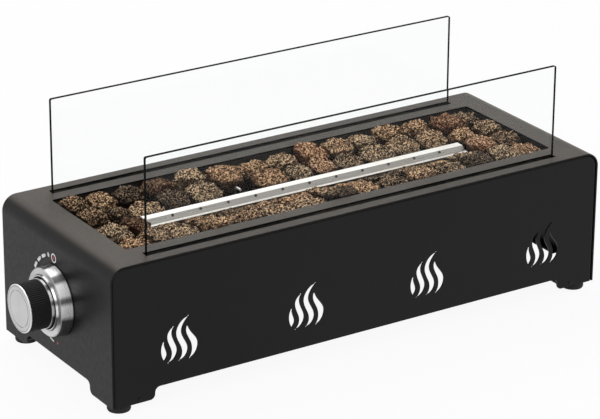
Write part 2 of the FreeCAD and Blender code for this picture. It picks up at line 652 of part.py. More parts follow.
def panels():
    """Front and rear: the same pressing, turned to face outwards. The rear one has a port for the gas inlet."""
    length = "casing_length - 2 * sheet_gauge - 2 * seam_gap"
    height = "casing_height - sheet_gauge - seam_gap"
    bend = "end_bend - sheet_gauge - seam_gap"
    outside = arched_block("panel_outside", length, "panel_return", height, bend, "0", "panel_return / 2", "0")
    rounded(
        outside, "panel_bend",
        lambda edge: edge.BoundBox.YMax < 1e-6 and not (runs_along(edge, "X") and edge.BoundBox.ZMax < 1e-6),
    )
    inside = arched_block(
        "panel_inside", f"{length} - 2 * sheet_gauge", f"panel_return + {THROUGH}",
        f"{height} - sheet_gauge + {THROUGH}", f"{bend} - sheet_gauge",
        "0", f"sheet_gauge + (panel_return + {THROUGH}) / 2", f"-{THROUGH}",
    )
    inner_top = number(f"{height} - sheet_gauge + {THROUGH}")
    rounded(
        inside, "panel_bend - sheet_gauge",
        lambda edge: edge.BoundBox.YMax < 1e-6
        and edge.BoundBox.ZMax > inner_top / 2
        or edge.BoundBox.YMax < 1e-6 and runs_along(edge, "Z"),
    )
    legs = leg_gap("front_leg_gap", "casing_length", "front_leg", f"panel_return + 2 * {THROUGH}",
                   "0", f"panel_return + {THROUGH}", "0", "-Y")
    vents = flame_vents()
    rivets = [
        rod(f"panel_rivet_hole_{side}", "rivet_shank", f"sheet_gauge + 2 * {THROUGH}",
            f"{sign}(casing_length / 2 - rivet_inset)", f"-{THROUGH}", "rivet_height", "Y")
        for side, sign in (("left", "-"), ("right", ""))
    ]
    front = cut("front_panel", outside, inside, legs, vents, *rivets)
    place(front, "casing_mid", "front_face", "foot_height")
    port = rod("inlet_port_hole", "inlet_port", f"sheet_gauge + 2 * {THROUGH}",
               "casing_mid - port_x", f"-{THROUGH}", "knob_height", "Y")
    rear = cut("rear_panel", outside, inside, legs, vents, *rivets, port)
    place(rear, "casing_mid", "-front_face", "foot_height")
    rear.Placement = FreeCAD.Placement(rear.Placement.Base, Rotation(Vector(0, 0, 1), 180))
    return [front, rear]


def corner_name(sign_x, sign_y):
    """The name of one corner of the casing."""
    return ("front" if sign_y < 0 else "rear") + "_" + ("left" if sign_x < 0 else "right")


def corners():
    """In each corner a foot plate riveted to the panel, and a rubber foot screwed to it from below."""
    pieces = []
    screws = []
    nuts = []
    rivets = []
    for sign_x, sign_y in ((-1, -1), (1, -1), (-1, 1), (1, 1)):
        where = corner_name(sign_x, sign_y)
        x = f"casing_mid + {sign_x} * foot_x"
        y = f"{sign_y} * foot_y"
        pieces.append(corner_bracket(where, sign_x, sign_y, x, y))
        pieces.append(rubber_foot(where, x, y))
        screw_length = "foot_height - foot_recess + stand_gauge + bolt_nut_height + thread_spare"
        screws.append(pan_screw(f"foot_screw_{where}", screw_length, x, y, "foot_recess", "-Z"))
        nuts.append(nut(f"foot_nut_{where}", "bolt_nut_flats", "bolt_nut_height", "bolt_radius",
                        x, y, "foot_height + stand_gauge"))
        rivets.append(rivet(where, sign_x, sign_y))
    pieces.append(group("foot_screws", *screws))
    pieces.append(group("foot_nuts", *nuts))
    pieces.append(group("leg_rivets", *rivets))
    return pieces


def corner_bracket(where, sign_x, sign_y, x, y):
    """A foot plate with one upright flange against the panel."""
    inset = "(sheet_gauge + seam_gap + panel_bend)"
    mid_x = f"casing_mid + {sign_x} * (casing_length / 2 - {inset} - corner_plate / 2)"
    mid_y = f"{sign_y} * (casing_depth / 2 - sheet_gauge - corner_plate / 2)"
    flange_y = f"{sign_y} * (casing_depth / 2 - sheet_gauge - stand_gauge / 2)"
    floor = box(f"plate_{where}", "corner_plate", "corner_plate", "stand_gauge", mid_x, mid_y, "foot_height")
    flange = box(f"flange_{where}", "corner_plate", "stand_gauge", "corner_rise", mid_x, flange_y, "foot_height")
    screw = rod(f"plate_hole_{where}", "bolt_radius + hole_fit", f"stand_gauge + 2 * {THROUGH}",
                x, y, f"foot_height - {THROUGH}")
    hole = rod(f"plate_rivet_hole_{where}", "rivet_shank", f"stand_gauge + 2 * {THROUGH}",
               f"casing_mid + {sign_x} * (casing_length / 2 - rivet_inset)",
               f"{sign_y} * (casing_depth / 2 - sheet_gauge + {THROUGH})",
               "foot_height + rivet_height", "Y" if sign_y < 0 else "-Y")
    return cut(f"corner_bracket_{where}", fuse(f"angle_{where}", floor, flange), screw, hole)


def rubber_foot(where, x, y):
    """A rubber foot with a recess for its screw."""
    points = [
        ("foot_recess_radius", "0"),
        ("foot_radius - foot_rounding", "0"),
        ("foot_radius - foot_rounding * 0.3", "foot_rounding * 0.3"),
        ("foot_radius", "foot_rounding"),
        ("foot_radius", "foot_height"),
        ("bolt_radius + hole_fit", "foot_height"),
        ("bolt_radius + hole_fit", "foot_recess"),
        ("foot_recess_radius", "foot_recess"),
    ]
    return turned(f"rubber_foot_{where}", points, x, y, "0")


def rivet(where, sign_x, sign_y):
    """A dome rivet through a panel and the flange of its foot plate."""
    stack = "sheet_gauge + stand_gauge"
    points = [
        ("0", f"-({stack} + rivet_dome)"),
        ("rivet_shank * 1.5", f"-({stack} + rivet_dome)"),
        ("rivet_shank * 1.5", f"-({stack})"),
        ("rivet_shank", f"-({stack})"),
        ("rivet_shank", "0"),
        ("rivet_head", "0"),
        ("rivet_head * 0.8", "rivet_dome * 0.6"),
        ("rivet_head * 0.4", "rivet_dome"),
        ("0", "rivet_dome"),
    ]
    return turned(f"rivet_{where}", points, f"casing_mid + {sign_x} * (casing_length / 2 - rivet_inset)",
                  f"{sign_y} * casing_depth / 2", "foot_height + rivet_height", "-Y" if sign_y < 0 else "Y")


# ---- glass ------------------------------------------------------------------------------------

def glass_side(side, sign):
    """One wind guard in its rubber profile and its channel under the top."""
    y = f"{sign}slot_offset"
    channel_block = box(
        f"{side}_channel_block", "slot_length + 2 * channel_gauge", "slot_width + 2 * channel_gauge",
        "channel_drop + channel_gauge", "casing_mid", y, "channel_floor - channel_gauge",
    )
    channel_space = box(f"{side}_channel_space", "slot_length", "slot_width", f"channel_drop + {THROUGH}",
                        "casing_mid", y, "channel_floor")
    channel = cut(f"{side}_glass_channel", channel_block, channel_space)
    seal_block = box(f"{side}_seal_block", "slot_length - 2 * seal_fit", "slot_width - 2 * seal_fit",
                     "seal_height", "casing_mid", y, "channel_floor")
    seal_space = box(f"{side}_seal_space", f"slot_length + 2 * {THROUGH}", "glass_gauge + 2 * glass_fit",
                     f"seal_height + {THROUGH}", "casing_mid", y, "glass_bottom")
    seal = cut(f"{side}_glass_seal", seal_block, seal_space)
    glass = block(f"{side}_glass", "glass_length", "glass_gauge", "top_face + glass_rise - glass_bottom",
                  "casing_mid", y, "glass_bottom")
    rounded(glass, "glass_corner", lambda edge: runs_along(edge, "Y"))
    DOC.recompute()
    pane = glass.Tip
    outline = [f"Edge{at}" for at, edge in enumerate(pane.Shape.Edges, 1) if edge.BoundBox.YLength < 1e-6]
    arris = glass.newObject("PartDesign::Chamfer", f"{side}_glass_arris")
    arris.Base = (pane, outline)
    bind(arris, Size="glass_arris")
    return [channel, seal, glass]


# ---- tray and burner --------------------------------------------------------------------------

def tray_stud_spots():
    """Where the studs stand under the top: three along each long flange."""
    return [
        (f"casing_mid + {step} * tray_stud_pitch", f"{sign}tray_stud_row")
        for sign in ("-", "")
        for step in (-1, 0, 1)
    ]


def burner_stud_spots():
    """Where the two studs of the burner go down through the tray."""
    return [f"casing_mid + {side} * stand_spacing / 2" for side in (-1, 1)]


def burner_tray():
    """A deep pan with a flange all round, hung under the top."""
    pan = box("tray_pan", "tray_inside_length + 2 * tray_gauge", "tray_inside_depth + 2 * tray_gauge",
              "tray_drop + tray_gauge", "casing_mid", "0", "tray_under")
    flange = box("tray_rim", "tray_inside_length + 2 * tray_flange", "tray_inside_depth + 2 * tray_flange",
                 "tray_gauge", "casing_mid", "0", "top_under - tray_gauge")
    space = box("tray_space", "tray_inside_length", "tray_inside_depth", f"tray_drop + {THROUGH}",
                "casing_mid", "0", "tray_floor")
    holes = [
        rod(f"tray_stud_hole_{at}", "stud_radius + hole_fit", f"tray_gauge + 2 * {THROUGH}",
            x, y, f"top_under - tray_gauge - {THROUGH}")
        for at, (x, y) in enumerate(tray_stud_spots(), 1)
    ]
    floor = f"tray_under - {THROUGH}"
    deep = f"tray_gauge + 2 * {THROUGH}"
    for at, x in enumerate(burner_stud_spots(), 1):
        holes.append(rod(f"burner_stud_hole_{at}", "bolt_radius + hole_fit", deep, x, "0", floor))
    holes.append(rod("venturi_hole", "venturi_radius + hole_fit", deep, "riser_x", "0", floor))
    holes.append(rod("insulator_hole", "insulator_radius + hole_fit", deep, "electrode_x", "electrode_depth", floor))
    holes.append(rod("bracket_hole", "stud_radius + hole_fit", deep,
                     "electrode_x + bracket_reach", "electrode_depth", floor))
    return cut("burner_tray", fuse("tray_pressing", pan, flange), space, *holes)


def tray_fixings():
    """Studs welded under the top, and the nuts that hold the tray to them."""
    spots = tray_stud_spots()
    studs = [
        rod(f"tray_stud_{at}", "stud_radius", "stud_reach", x, y, "top_under - stud_reach")
        for at, (x, y) in enumerate(spots, 1)
    ]
    nuts = [
        nut(f"tray_nut_{at}", "small_nut_flats", "small_nut_height", "stud_radius",
            x, y, "top_under - tray_gauge - small_nut_height")
        for at, (x, y) in enumerate(spots, 1)
    ]
    return [group("tray_studs", *studs), group("tray_nuts", *nuts)]


def ramp(name, low_length, low_width, top_length, top_width, height, z):
    """A solid on the burner's middle with a rectangular base and a smaller or larger rectangular top."""
    wedge = DOC.addObject("Part::Wedge", name)
    bind(
        wedge,
        Xmin=f"-({low_length}) / 2", Xmax=f"({low_length}) / 2",
        Zmin=f"-({low_width}) / 2", Zmax=f"({low_width}) / 2",
        Ymin="0", Ymax=height,
        X2min=f"-({top_length}) / 2", X2max=f"({top_length}) / 2",
        Z2min=f"-({top_width}) / 2", Z2max=f"({top_width}) / 2",
    )
    place(wedge, "casing_mid", "0", z)
    wedge.Placement = FreeCAD.Placement(wedge.Placement.Base, Rotation(Vector(1, 0, 0), 90))
    return wedge


def burner_halves():
    """The two pressings of the burner, joined at their lips."""
    crest_length = "burner_length - 2 * burner_end_lip - 2 * burner_end_slope"
    base_length = "burner_length - 2 * burner_end_lip"
    wall = "2 * burner_gauge"
    lip = box("upper_lip", "burner_length", "2 * lip_half", "burner_gauge", "casing_mid", "0", "lip_joint")
    crown = ramp("burner_crown", base_length, "2 * shoulder_half", crest_length, "burner_crest",
                 "burner_fall", "lip_top")
    hollow = ramp("burner_crown_hollow", f"{base_length} - {wall}", f"2 * shoulder_half - {wall}",
                  f"{crest_length} - {wall}", f"burner_crest - {wall} / 2", "burner_fall - burner_gauge", "lip_top")
    mouth = box("burner_mouth", f"{base_length} - {wall}", f"2 * shoulder_half - {wall}",
                f"burner_gauge + {THROUGH}", "casing_mid", "0", f"lip_joint - {THROUGH}")
    upper = cut("burner_upper_half", fuse("upper_pressing", lip, crown), fuse("upper_space", hollow, mouth),
                *burner_ports())
    lower_lip = box("lower_lip", "burner_length", "2 * lip_half", "burner_gauge",
                    "casing_mid", "0", "lip_joint - burner_gauge")
    belly = ramp("burner_belly_block", f"{base_length} - 2 * burner_draft", "2 * shoulder_half - 2 * burner_draft",
                 base_length, "2 * shoulder_half", "burner_belly", "burner_bottom")
    belly_space = ramp("burner_belly_space", f"{base_length} - 2 * burner_draft - {wall}",
                       f"2 * shoulder_half - 2 * burner_draft - {wall}", f"{base_length} - {wall}",
                       f"2 * shoulder_half - {wall}", "burner_belly + burner_gauge",
                       "burner_bottom + burner_gauge")
    entry = rod("burner_entry", "venturi_radius", f"burner_gauge + {THROUGH}",
                "riser_x", "0", f"burner_bottom - {THROUGH}")
    lower = cut("burner_lower_half", fuse("lower_pressing", lower_lip, belly), belly_space, entry)
    return [upper, lower]


def burner_ports():
    """Drills for the ports: a row across each sloping side, square to it."""
    lean = math.atan2(size("burner_slope"), size("burner_fall"))
    reach = "2 * burner_gauge"
    ports = []
    for sign in (-1, 1):
        for at in range(int(size("port_count"))):
            step = at - (size("port_count") - 1) / 2
            drill = DOC.addObject("Part::Cylinder", f"port_{'front' if sign < 0 else 'rear'}_{at + 1}")
            bind(drill, Radius="port_radius", Height=f"2 * {reach}")
            place(drill, f"casing_mid + {step} * port_pitch",
                  f"{sign} * (burner_port_y - {reach} * {math.cos(lean)})",
                  f"burner_top - port_drop - {reach} * {math.sin(lean)}")
            turn = Rotation(Vector(1, 0, 0), -sign * (90 - math.degrees(lean)))
            drill.Placement = FreeCAD.Placement(drill.Placement.Base, turn)
            ports.append(drill)
    return ports


def burner_stands():
    """Two sheet stands on the tray floor, with the burner's studs through them and nuts below the tray."""
    pieces = []
    studs = []
    nuts = []
    for side, x in zip(("left", "right"), burner_stud_spots()):
        half = "shoulder_half - burner_draft"
        table = box(f"stand_table_{side}", "stand_length", f"2 * ({half})", "stand_gauge",
                    x, "0", "burner_bottom - stand_gauge")
        walls = []
        for edge, sign in (("front", "-"), ("rear", "")):
            walls.append(box(f"stand_wall_{side}_{edge}", "stand_length", "stand_gauge", "stand_height",
                             x, f"{sign}({half} - stand_gauge / 2)", "tray_floor"))
            walls.append(box(f"stand_foot_{side}_{edge}", "stand_length", "stand_foot + stand_gauge", "stand_gauge",
                             x, f"{sign}({half} + (stand_foot - stand_gauge) / 2)", "tray_floor"))
        hole = rod(f"stand_hole_{side}", "bolt_radius + hole_fit", f"stand_gauge + 2 * {THROUGH}",
                   x, "0", f"burner_bottom - stand_gauge - {THROUGH}")
        pieces.append(cut(f"burner_stand_{side}", fuse(f"stand_bend_{side}", table, *walls), hole))
        reach = "stand_height + tray_gauge + bolt_nut_height + thread_spare"
        studs.append(rod(f"burner_stud_{side}", "bolt_radius", reach, x, "0", f"burner_bottom - ({reach})"))
        nuts.append(nut(f"burner_nut_{side}", "bolt_nut_flats", "bolt_nut_height", "bolt_radius",
                        x, "0", "tray_under - bolt_nut_height"))
    return pieces + [group("burner_studs", *studs), group("burner_nuts", *nuts)]


def venturi():
    """The mixing tube: a flared mouth before the jet, a run under the tray and a riser into the burner."""
    parts = {}
    for kind, trim in (("outer", "0"), ("inner", "venturi_wall")):
        radius = f"(venturi_radius - {trim})"
        spare = "0" if kind == "outer" else str(THROUGH)
        flare = taper(f"venturi_flare_{kind}", f"venturi_mouth - {trim}", radius, "venturi_flare",
                      "mouth_x", "0", "axis_z", "X")
        run = rod(f"venturi_run_{kind}", radius, "venturi_run - venturi_flare",
                  "mouth_x + venturi_flare", "0", "axis_z", "X")
        bend = quarter_bend(f"venturi_bend_{kind}", "venturi_bend", radius, "elbow_x", "0", "axis_z + venturi_bend")
        turn = Rotation(Vector(1, 0, 0), 90) * Rotation(Vector(0, 0, 1), -90)
        bend.Placement = FreeCAD.Placement(bend.Placement.Base, turn)
        riser = rod(f"venturi_riser_{kind}", radius,
                    f"burner_bottom + burner_gauge + venturi_entry - axis_z - venturi_bend + {spare}",
                    "riser_x", "0", "axis_z + venturi_bend")
        parts[kind] = fuse(f"venturi_{kind}", flare, run, bend, riser)
    tube = cut("venturi_tube", parts["outer"], parts["inner"])
    ring = rod("collar_disc", "collar_flange", "stand_gauge", "riser_x", "0", "tray_under - stand_gauge")
    hole = rod("collar_hole", "venturi_radius + nut_fit", f"stand_gauge + 2 * {THROUGH}",
               "riser_x", "0", f"tray_under - stand_gauge - {THROUGH}")
    return [tube, cut("venturi_collar", ring, hole)]


# ---- knob and valve ---------------------------------------------------------------------------
# These are drawn along the stem: distances are from the end of the casing, outwards, so what is
# inside the casing has a negative distance.

def on_stem(name, points):
    """A piece turned about the stem axis."""
    return turned(name, points, "left_end", "0", "axis_z", "-X")


def stem_rod(name, radius, start, length):
    """A cylinder on the stem axis that starts at a distance and runs outwards."""
    return rod(name, radius, length, f"left_end - ({start})", "0", "axis_z", "-X")


def stem_box(name, length, span, height, start):
    """A box on the stem axis that starts at a distance and runs outwards."""
    return box(name, length, span, height, f"left_end - ({start}) - ({length}) / 2", "0", f"axis_z - ({height}) / 2")


def knob_bezel():
    """The bright ring round the knob, with a floor that is screwed to the end of the casing."""
    points = [
        ("stem_hole", "0"),
        ("bezel_bore + bezel_wall", "0"),
        ("bezel_bore + bezel_wall", "bezel_depth - bezel_wall"),
        ("bezel_front_radius - bezel_wall", "bezel_depth - bezel_wall"),
        ("bezel_radius - bezel_wall", "0"),
        ("bezel_radius - bezel_edge", "0"),
        ("bezel_radius", "bezel_edge"),
        ("bezel_front_radius", "bezel_depth - bezel_edge"),
        ("bezel_front_radius - bezel_edge", "bezel_depth"),
        ("bezel_lip_radius", "bezel_depth"),
        ("bezel_lip_radius - bezel_lip_rise / 2", "bezel_depth + bezel_lip_rise"),
        ("bezel_bore + bezel_edge / 2", "bezel_depth + bezel_lip_rise"),
        ("bezel_bore", "bezel_depth + bezel_lip_rise - bezel_edge / 2"),
        ("bezel_bore", "bezel_floor"),
        ("stem_hole", "bezel_floor"),
    ]
    shell = on_stem("bezel_shell", points)
    holes = [
        rod(f"bezel_screw_hole_{side}", "bolt_radius + hole_fit", f"bezel_floor + 2 * {THROUGH}",
            f"left_end + {THROUGH}", f"{sign}valve_screw_offset", "axis_z", "-X")
        for side, sign in (("front", "-"), ("rear", ""))
    ]
    return cut("knob_bezel", shell, *holes)


def knob_grip():
    """The knurled grip: a hollow moulding with a hub for the stem and a recess for the cap."""
    front = "knob_projection - cap_rim - cap_fit"
    seat = "knob_projection - cap_gauge"
    points = [
        ("0", "knob_back + hub_recess"),
        ("hub_radius", "knob_back + hub_recess"),
        ("hub_radius", f"{seat} - knob_web"),
        ("knob_wall_radius", f"{seat} - knob_web"),
        ("knob_wall_radius", "knob_back"),
        ("knob_skirt", "knob_back"),
        ("knob_skirt", "skirt_back"),
        ("skirt_bore - skirt_fit", "skirt_back"),
        ("skirt_bore - skirt_fit", "skirt_front"),
        ("knob_radius", "skirt_front"),
        ("knob_radius", f"{front} - knob_chamfer"),
        ("knob_radius - knob_chamfer", front),
        ("cap_seat + cap_fit", front),
        ("cap_seat + cap_fit", seat),
        ("0", seat),
    ]
    blank = on_stem("grip_blank", points)
    plain = stem_rod("grip_plain_part", "skirt_radius", "0", "skirt_front")
    ridges = fuse("grip_outline", plain, knurled_bar())
    bore = stem_rod("grip_bore", "stem_radius + stem_fit", f"knob_back - {THROUGH}",
                    f"stem_end - knob_back + {THROUGH}")
    flat = d_flat("grip_bore_flat", f"knob_back - {THROUGH}", f"stem_end - knob_back + 2 * {THROUGH}", "stem_fit")
    ridged = DOC.addObject("Part::Common", "ridged_grip")
    ridged.Base = blank
    ridged.Tool = ridges
    return cut("knob_grip", ridged, cut("grip_bore_shaped", bore, flat))


def d_flat(name, start, length, ease):
    """The tool that takes the flat off a round stem or its bore, on the upper side."""
    return box(name, length, "4 * stem_radius", "2 * stem_radius", f"left_end - ({start}) - ({length}) / 2", "0",
               f"axis_z + stem_radius - stem_flat + {ease}")


def knurled_bar():
    """A prism with pointed ridges all round, from the skirt ring to the front of the grip."""
    bar = DOC.addObject("Part::Feature", "knurled_bar")
    count = int(size("knurl_count"))
    corners = []
    for at in range(2 * count):
        radius = size("knob_radius") + (0.1 if at % 2 == 0 else -size("knurl_depth"))
        angle = math.pi * at / count
        corners.append(Vector(radius * math.cos(angle), radius * math.sin(angle), 0))
    outline = Part.makePolygon(corners + corners[:1])
    bar.Shape = Part.Face(outline).extrude(Vector(0, 0, size("knob_projection") - size("skirt_front")))
    return place(bar, "left_end - skirt_front", "0", "axis_z", "-X")


def knob_trim():
    """The bright skirt ring and the metal cap of the knob."""
    ring = on_stem("knob_skirt_ring", [
        ("skirt_bore", "skirt_back"),
        ("skirt_radius", "skirt_back"),
        ("skirt_radius", "skirt_front - skirt_radius + skirt_front_radius"),
        ("skirt_front_radius", "skirt_front"),
        ("skirt_bore", "skirt_front"),
    ])
    seat = "knob_projection - cap_gauge"
    rim = "knob_projection - knob_chamfer / 4"
    groove = "cap_groove + cap_groove_width"
    cap = on_stem("knob_cap", [
        ("0", seat),
        ("cap_seat", seat),
        ("cap_seat", "knob_projection - cap_rim"),
        ("cap_radius", "knob_projection - cap_rim"),
        ("cap_radius", f"{rim} - knob_chamfer / 2"),
        ("cap_radius - knob_chamfer / 2", rim),
        (groove, rim),
        (groove, f"{rim} - cap_groove_depth"),
        ("cap_groove", f"{rim} - cap_groove_depth"),
        ("cap_groove", rim),
        ("cap_groove - knob_chamfer / 4", "knob_projection"),
        ("0", "knob_projection"),
    ])
    return [ring, cap]


def valve_stem():
    """The stem: a round shank with a flat for the knob, a collar and a flat tang that turns the plug."""
    shank = stem_rod("stem_shank", "stem_radius", "collar_back", "stem_end - collar_back")
    collar = stem_rod("stem_collar", "collar_radius", "collar_back", "collar_length")
    spindle = stem_rod("stem_spindle", "spindle_radius", "spindle_start", "collar_back - spindle_start")
    tang = stem_box("stem_tang", "spindle_start - tang_end", "tang_span", "tang_width", "tang_end")
    whole = fuse("stem_blank", shank, collar, spindle, tang)
    flat = d_flat("stem_flat_tool", "knob_back", f"stem_end - knob_back + {THROUGH}", "0")
    return cut("valve_stem", whole, flat)


def valve_plug():
    """The tapered plug that opens and closes the gas way as it turns."""
    cone = taper("plug_cone", "plug_back_radius", "plug_front_radius", "plug_length",
                 "left_end - plug_back", "0", "axis_z", "-X")
    slot = stem_box("plug_slot", f"plug_front - slot_end + {THROUGH}", "4 * plug_front_radius",
                    "tang_width + 2 * tang_fit", "slot_end")
    way = stem_rod("plug_way", "gallery_radius / 2", f"plug_back - {THROUGH}",
                   f"plug_length / 4 + {THROUGH}")
    return cut("valve_plug", cone, slot, way)


def valve_spring():
    """The spring that pushes the knob back out, between the plug and the collar."""
    coil = DOC.addObject("Part::Helix", "spring_path")
    inside = "(plug_space - 2 * spring_wire - 4 * rest_gap)"
    bind(coil, Radius="spring_radius", Height=inside, Pitch=f"{inside} / spring_turns")
    wire = DOC.addObject("Part::Circle", "spring_section")
    bind(wire, Radius="spring_wire")
    place(wire, "spring_radius", "0", "0", "-Y")
    sweep = DOC.addObject("Part::Sweep", "valve_spring")
    sweep.Sections = [wire]
    sweep.Spine = (coil, ["Edge1"])
    sweep.Solid = True
    sweep.Frenet = True
    return place(sweep, "left_end - plug_front - spring_wire - 2 * rest_gap", "0", "axis_z", "-X")


def valve_housing():
    """The valve body with its inlet boss, and the cover plate that keeps the stem in."""
    barrel = stem_rod("barrel_blank", "barrel_radius", "barrel_back", "cover_back - barrel_back")
    flange = stem_box("flange_blank", "valve_flange", "cover_span", "cover_height", "cover_back - valve_flange")
    boss = rod("boss_blank", "boss_radius", "boss_reach", "port_x", "0", "axis_z", "Y")
    chamber = stem_rod("valve_chamber", "chamber_radius", "plug_front - rest_gap",
                       f"cover_back - plug_front + rest_gap + {THROUGH}")
    seat = taper("plug_seat", "plug_back_radius + running_fit", "plug_front_radius + running_fit", "plug_length",
                 "left_end - plug_back", "0", "axis_z", "-X")
    gallery = stem_rod("valve_gallery", "gallery_radius", f"barrel_back - {THROUGH}",
                       f"plug_back - barrel_back + {THROUGH}")
    thread = stem_rod("jet_seat", "jet_thread", f"barrel_back - {THROUGH}", f"barrel_wall / 2 + {THROUGH}")
    pipe_hole = rod("boss_pipe_seat", "pipe_radius + pipe_fit", f"pipe_seat + {THROUGH}",
                    "port_x", "boss_reach - pipe_seat", "axis_z", "Y")
    way = rod("boss_way", "gallery_radius", "boss_reach", "port_x", "0", "axis_z", "Y")
    screws = [
        rod(f"flange_screw_hole_{side}", "bolt_radius + nut_fit", f"valve_flange + 2 * {THROUGH}",
            f"left_end - cover_back - {THROUGH}", f"{sign}valve_screw_offset", "axis_z", "X")
        for side, sign in (("front", "-"), ("rear", ""))
    ]
    body = cut("valve_body", fuse("valve_casting", barrel, flange, boss),
               chamber, seat, gallery, thread, pipe_hole, way, *screws)
    plate = stem_box("cover_blank", "cover_gauge", "cover_span", "cover_height", "cover_back")
    bore = stem_rod("cover_bore", "stem_radius + running_fit", f"cover_back - {THROUGH}",
                    f"cover_gauge + 2 * {THROUGH}")
    holes = [
        rod(f"cover_screw_hole_{side}", "bolt_radius + hole_fit", f"cover_gauge + 2 * {THROUGH}",
            f"left_end + sheet_gauge - {THROUGH}", f"{sign}valve_screw_offset", "axis_z", "X")
        for side, sign in (("front", "-"), ("rear", ""))
    ]
    return [body, cut("valve_cover", plate, bore, *holes)]


def valve_screws():
    """Two screws through the bezel, the end of the casing and the cover plate into the valve body."""
    length = "bezel_floor - cover_back + valve_flange"
    screws = [
        pan_screw(f"valve_screw_{side}", length, "left_end - bezel_floor", f"{sign}valve_screw_offset", "axis_z", "-X")
        for side, sign in (("front", "-"), ("rear", ""))
    ]
    return group("valve_screws", *screws)


def gas_jet():
    """The jet, screwed into the back of the valve, with its nose in the mouth of the mixing tube."""
    thread = stem_rod("jet_threaded", "jet_thread", "barrel_back", "barrel_wall / 2")
    nose = taper("jet_nose_blank", "jet_tip_radius", "jet_nose_radius", "jet_nose",
                 "left_end - jet_tip", "0", "axis_z", "-X")
    hexed = hexagon("jet_hexagon", "jet_flats", "jet_hex", "left_end - barrel_back", "0", "axis_z", "X")
    bore = stem_rod("jet_bore", "gallery_radius", "jet_tip + jet_nose", f"jet_hex + barrel_wall / 2 + {THROUGH}")
    hole = stem_rod("jet_hole", "jet_orifice", f"jet_tip - {THROUGH}", f"jet_nose + 2 * {THROUGH}")
    return cut("gas_jet", fuse("jet_blank", thread, nose, hexed), bore, hole)


# ---- gas supply and ignition ------------------------------------------------------------------

def supply_line():
    """The pipe from the inlet to the valve, with a nut at each end."""
    start = "boss_reach - pipe_seat"
    end = "inlet_tail_y + pipe_seat"
    tube = rod("pipe_blank", "pipe_radius", f"{end} - ({start})", "port_x", start, "axis_z", "Y")
    bore = rod("pipe_bore", "pipe_radius - pipe_wall", f"{end} - ({start}) + 2 * {THROUGH}",
               "port_x", f"{start} - {THROUGH}", "axis_z", "Y")
    pipe = cut("supply_pipe", tube, bore)
    nuts = [
        nut("valve_pipe_nut", "pipe_nut_flats", "pipe_nut_height", "pipe_radius", "port_x", "boss_reach", "axis_z", "Y"),
        nut("inlet_pipe_nut", "pipe_nut_flats", "pipe_nut_height", "pipe_radius",
            "port_x", "inlet_tail_y", "axis_z", "-Y"),
    ]
    return [pipe, group("pipe_nuts", *nuts)]


def gas_inlet():
    """The flare fitting that the hose screws onto, held in a bracket welded to the end of the casing."""
    cone_y = "inlet_tip - inlet_cone"
    thread_y = f"{cone_y} - inlet_thread_length"
    tail = rod("inlet_tail", "inlet_neck", f"{thread_y} - inlet_tail_y", "port_x", "inlet_tail_y", "axis_z", "Y")
    hexed = hexagon("inlet_hexagon", "inlet_flats", "inlet_hex", "port_x", "inlet_hex_y", "axis_z", "Y")
    thread = rod("inlet_free_thread", "inlet_thread", "inlet_thread_length", "port_x", thread_y, "axis_z", "Y")
    cone = taper("inlet_flare", "inlet_neck", "inlet_neck - inlet_cone", "inlet_cone",
                 "port_x", cone_y, "axis_z", "Y")
    seat = rod("inlet_pipe_seat", "pipe_radius + pipe_fit", f"pipe_seat + {THROUGH}",
               "port_x", f"inlet_tail_y - {THROUGH}", "axis_z", "Y")
    bore = rod("inlet_way", "inlet_bore", f"inlet_tip - inlet_tail_y - pipe_seat + {THROUGH}",
               "port_x", "inlet_tail_y + pipe_seat", "axis_z", "Y")
    fitting = cut("inlet_fitting", fuse("inlet_blank", tail, hexed, thread, cone), seat, bore)
    reach = "(port_x - left_end - sheet_gauge + inlet_thread + inlet_plate_margin)"
    plate = box("inlet_plate_blank", reach, "stand_gauge", "inlet_plate",
                f"left_end + sheet_gauge + {reach} / 2", "inlet_plate_y + stand_gauge / 2", "axis_z - inlet_plate / 2")
    weld = box("inlet_plate_weld", "stand_gauge", "inlet_plate_foot", "inlet_plate",
               "left_end + sheet_gauge + stand_gauge / 2", "inlet_plate_y + stand_gauge - inlet_plate_foot / 2",
               "axis_z - inlet_plate / 2")
    hole = rod("inlet_plate_hole", "inlet_neck + nut_fit", f"stand_gauge + 2 * {THROUGH}",
               "port_x", f"inlet_plate_y - {THROUGH}", "axis_z", "Y")
    bracket = cut("inlet_bracket", fuse("inlet_angle", plate, weld), hole)
    locknut = nut("inlet_locknut", "inlet_locknut_flats", "inlet_locknut_height", "inlet_neck",
                  "port_x", "inlet_plate_y + stand_gauge", "axis_z", "Y")
    return [fitting, bracket, locknut]


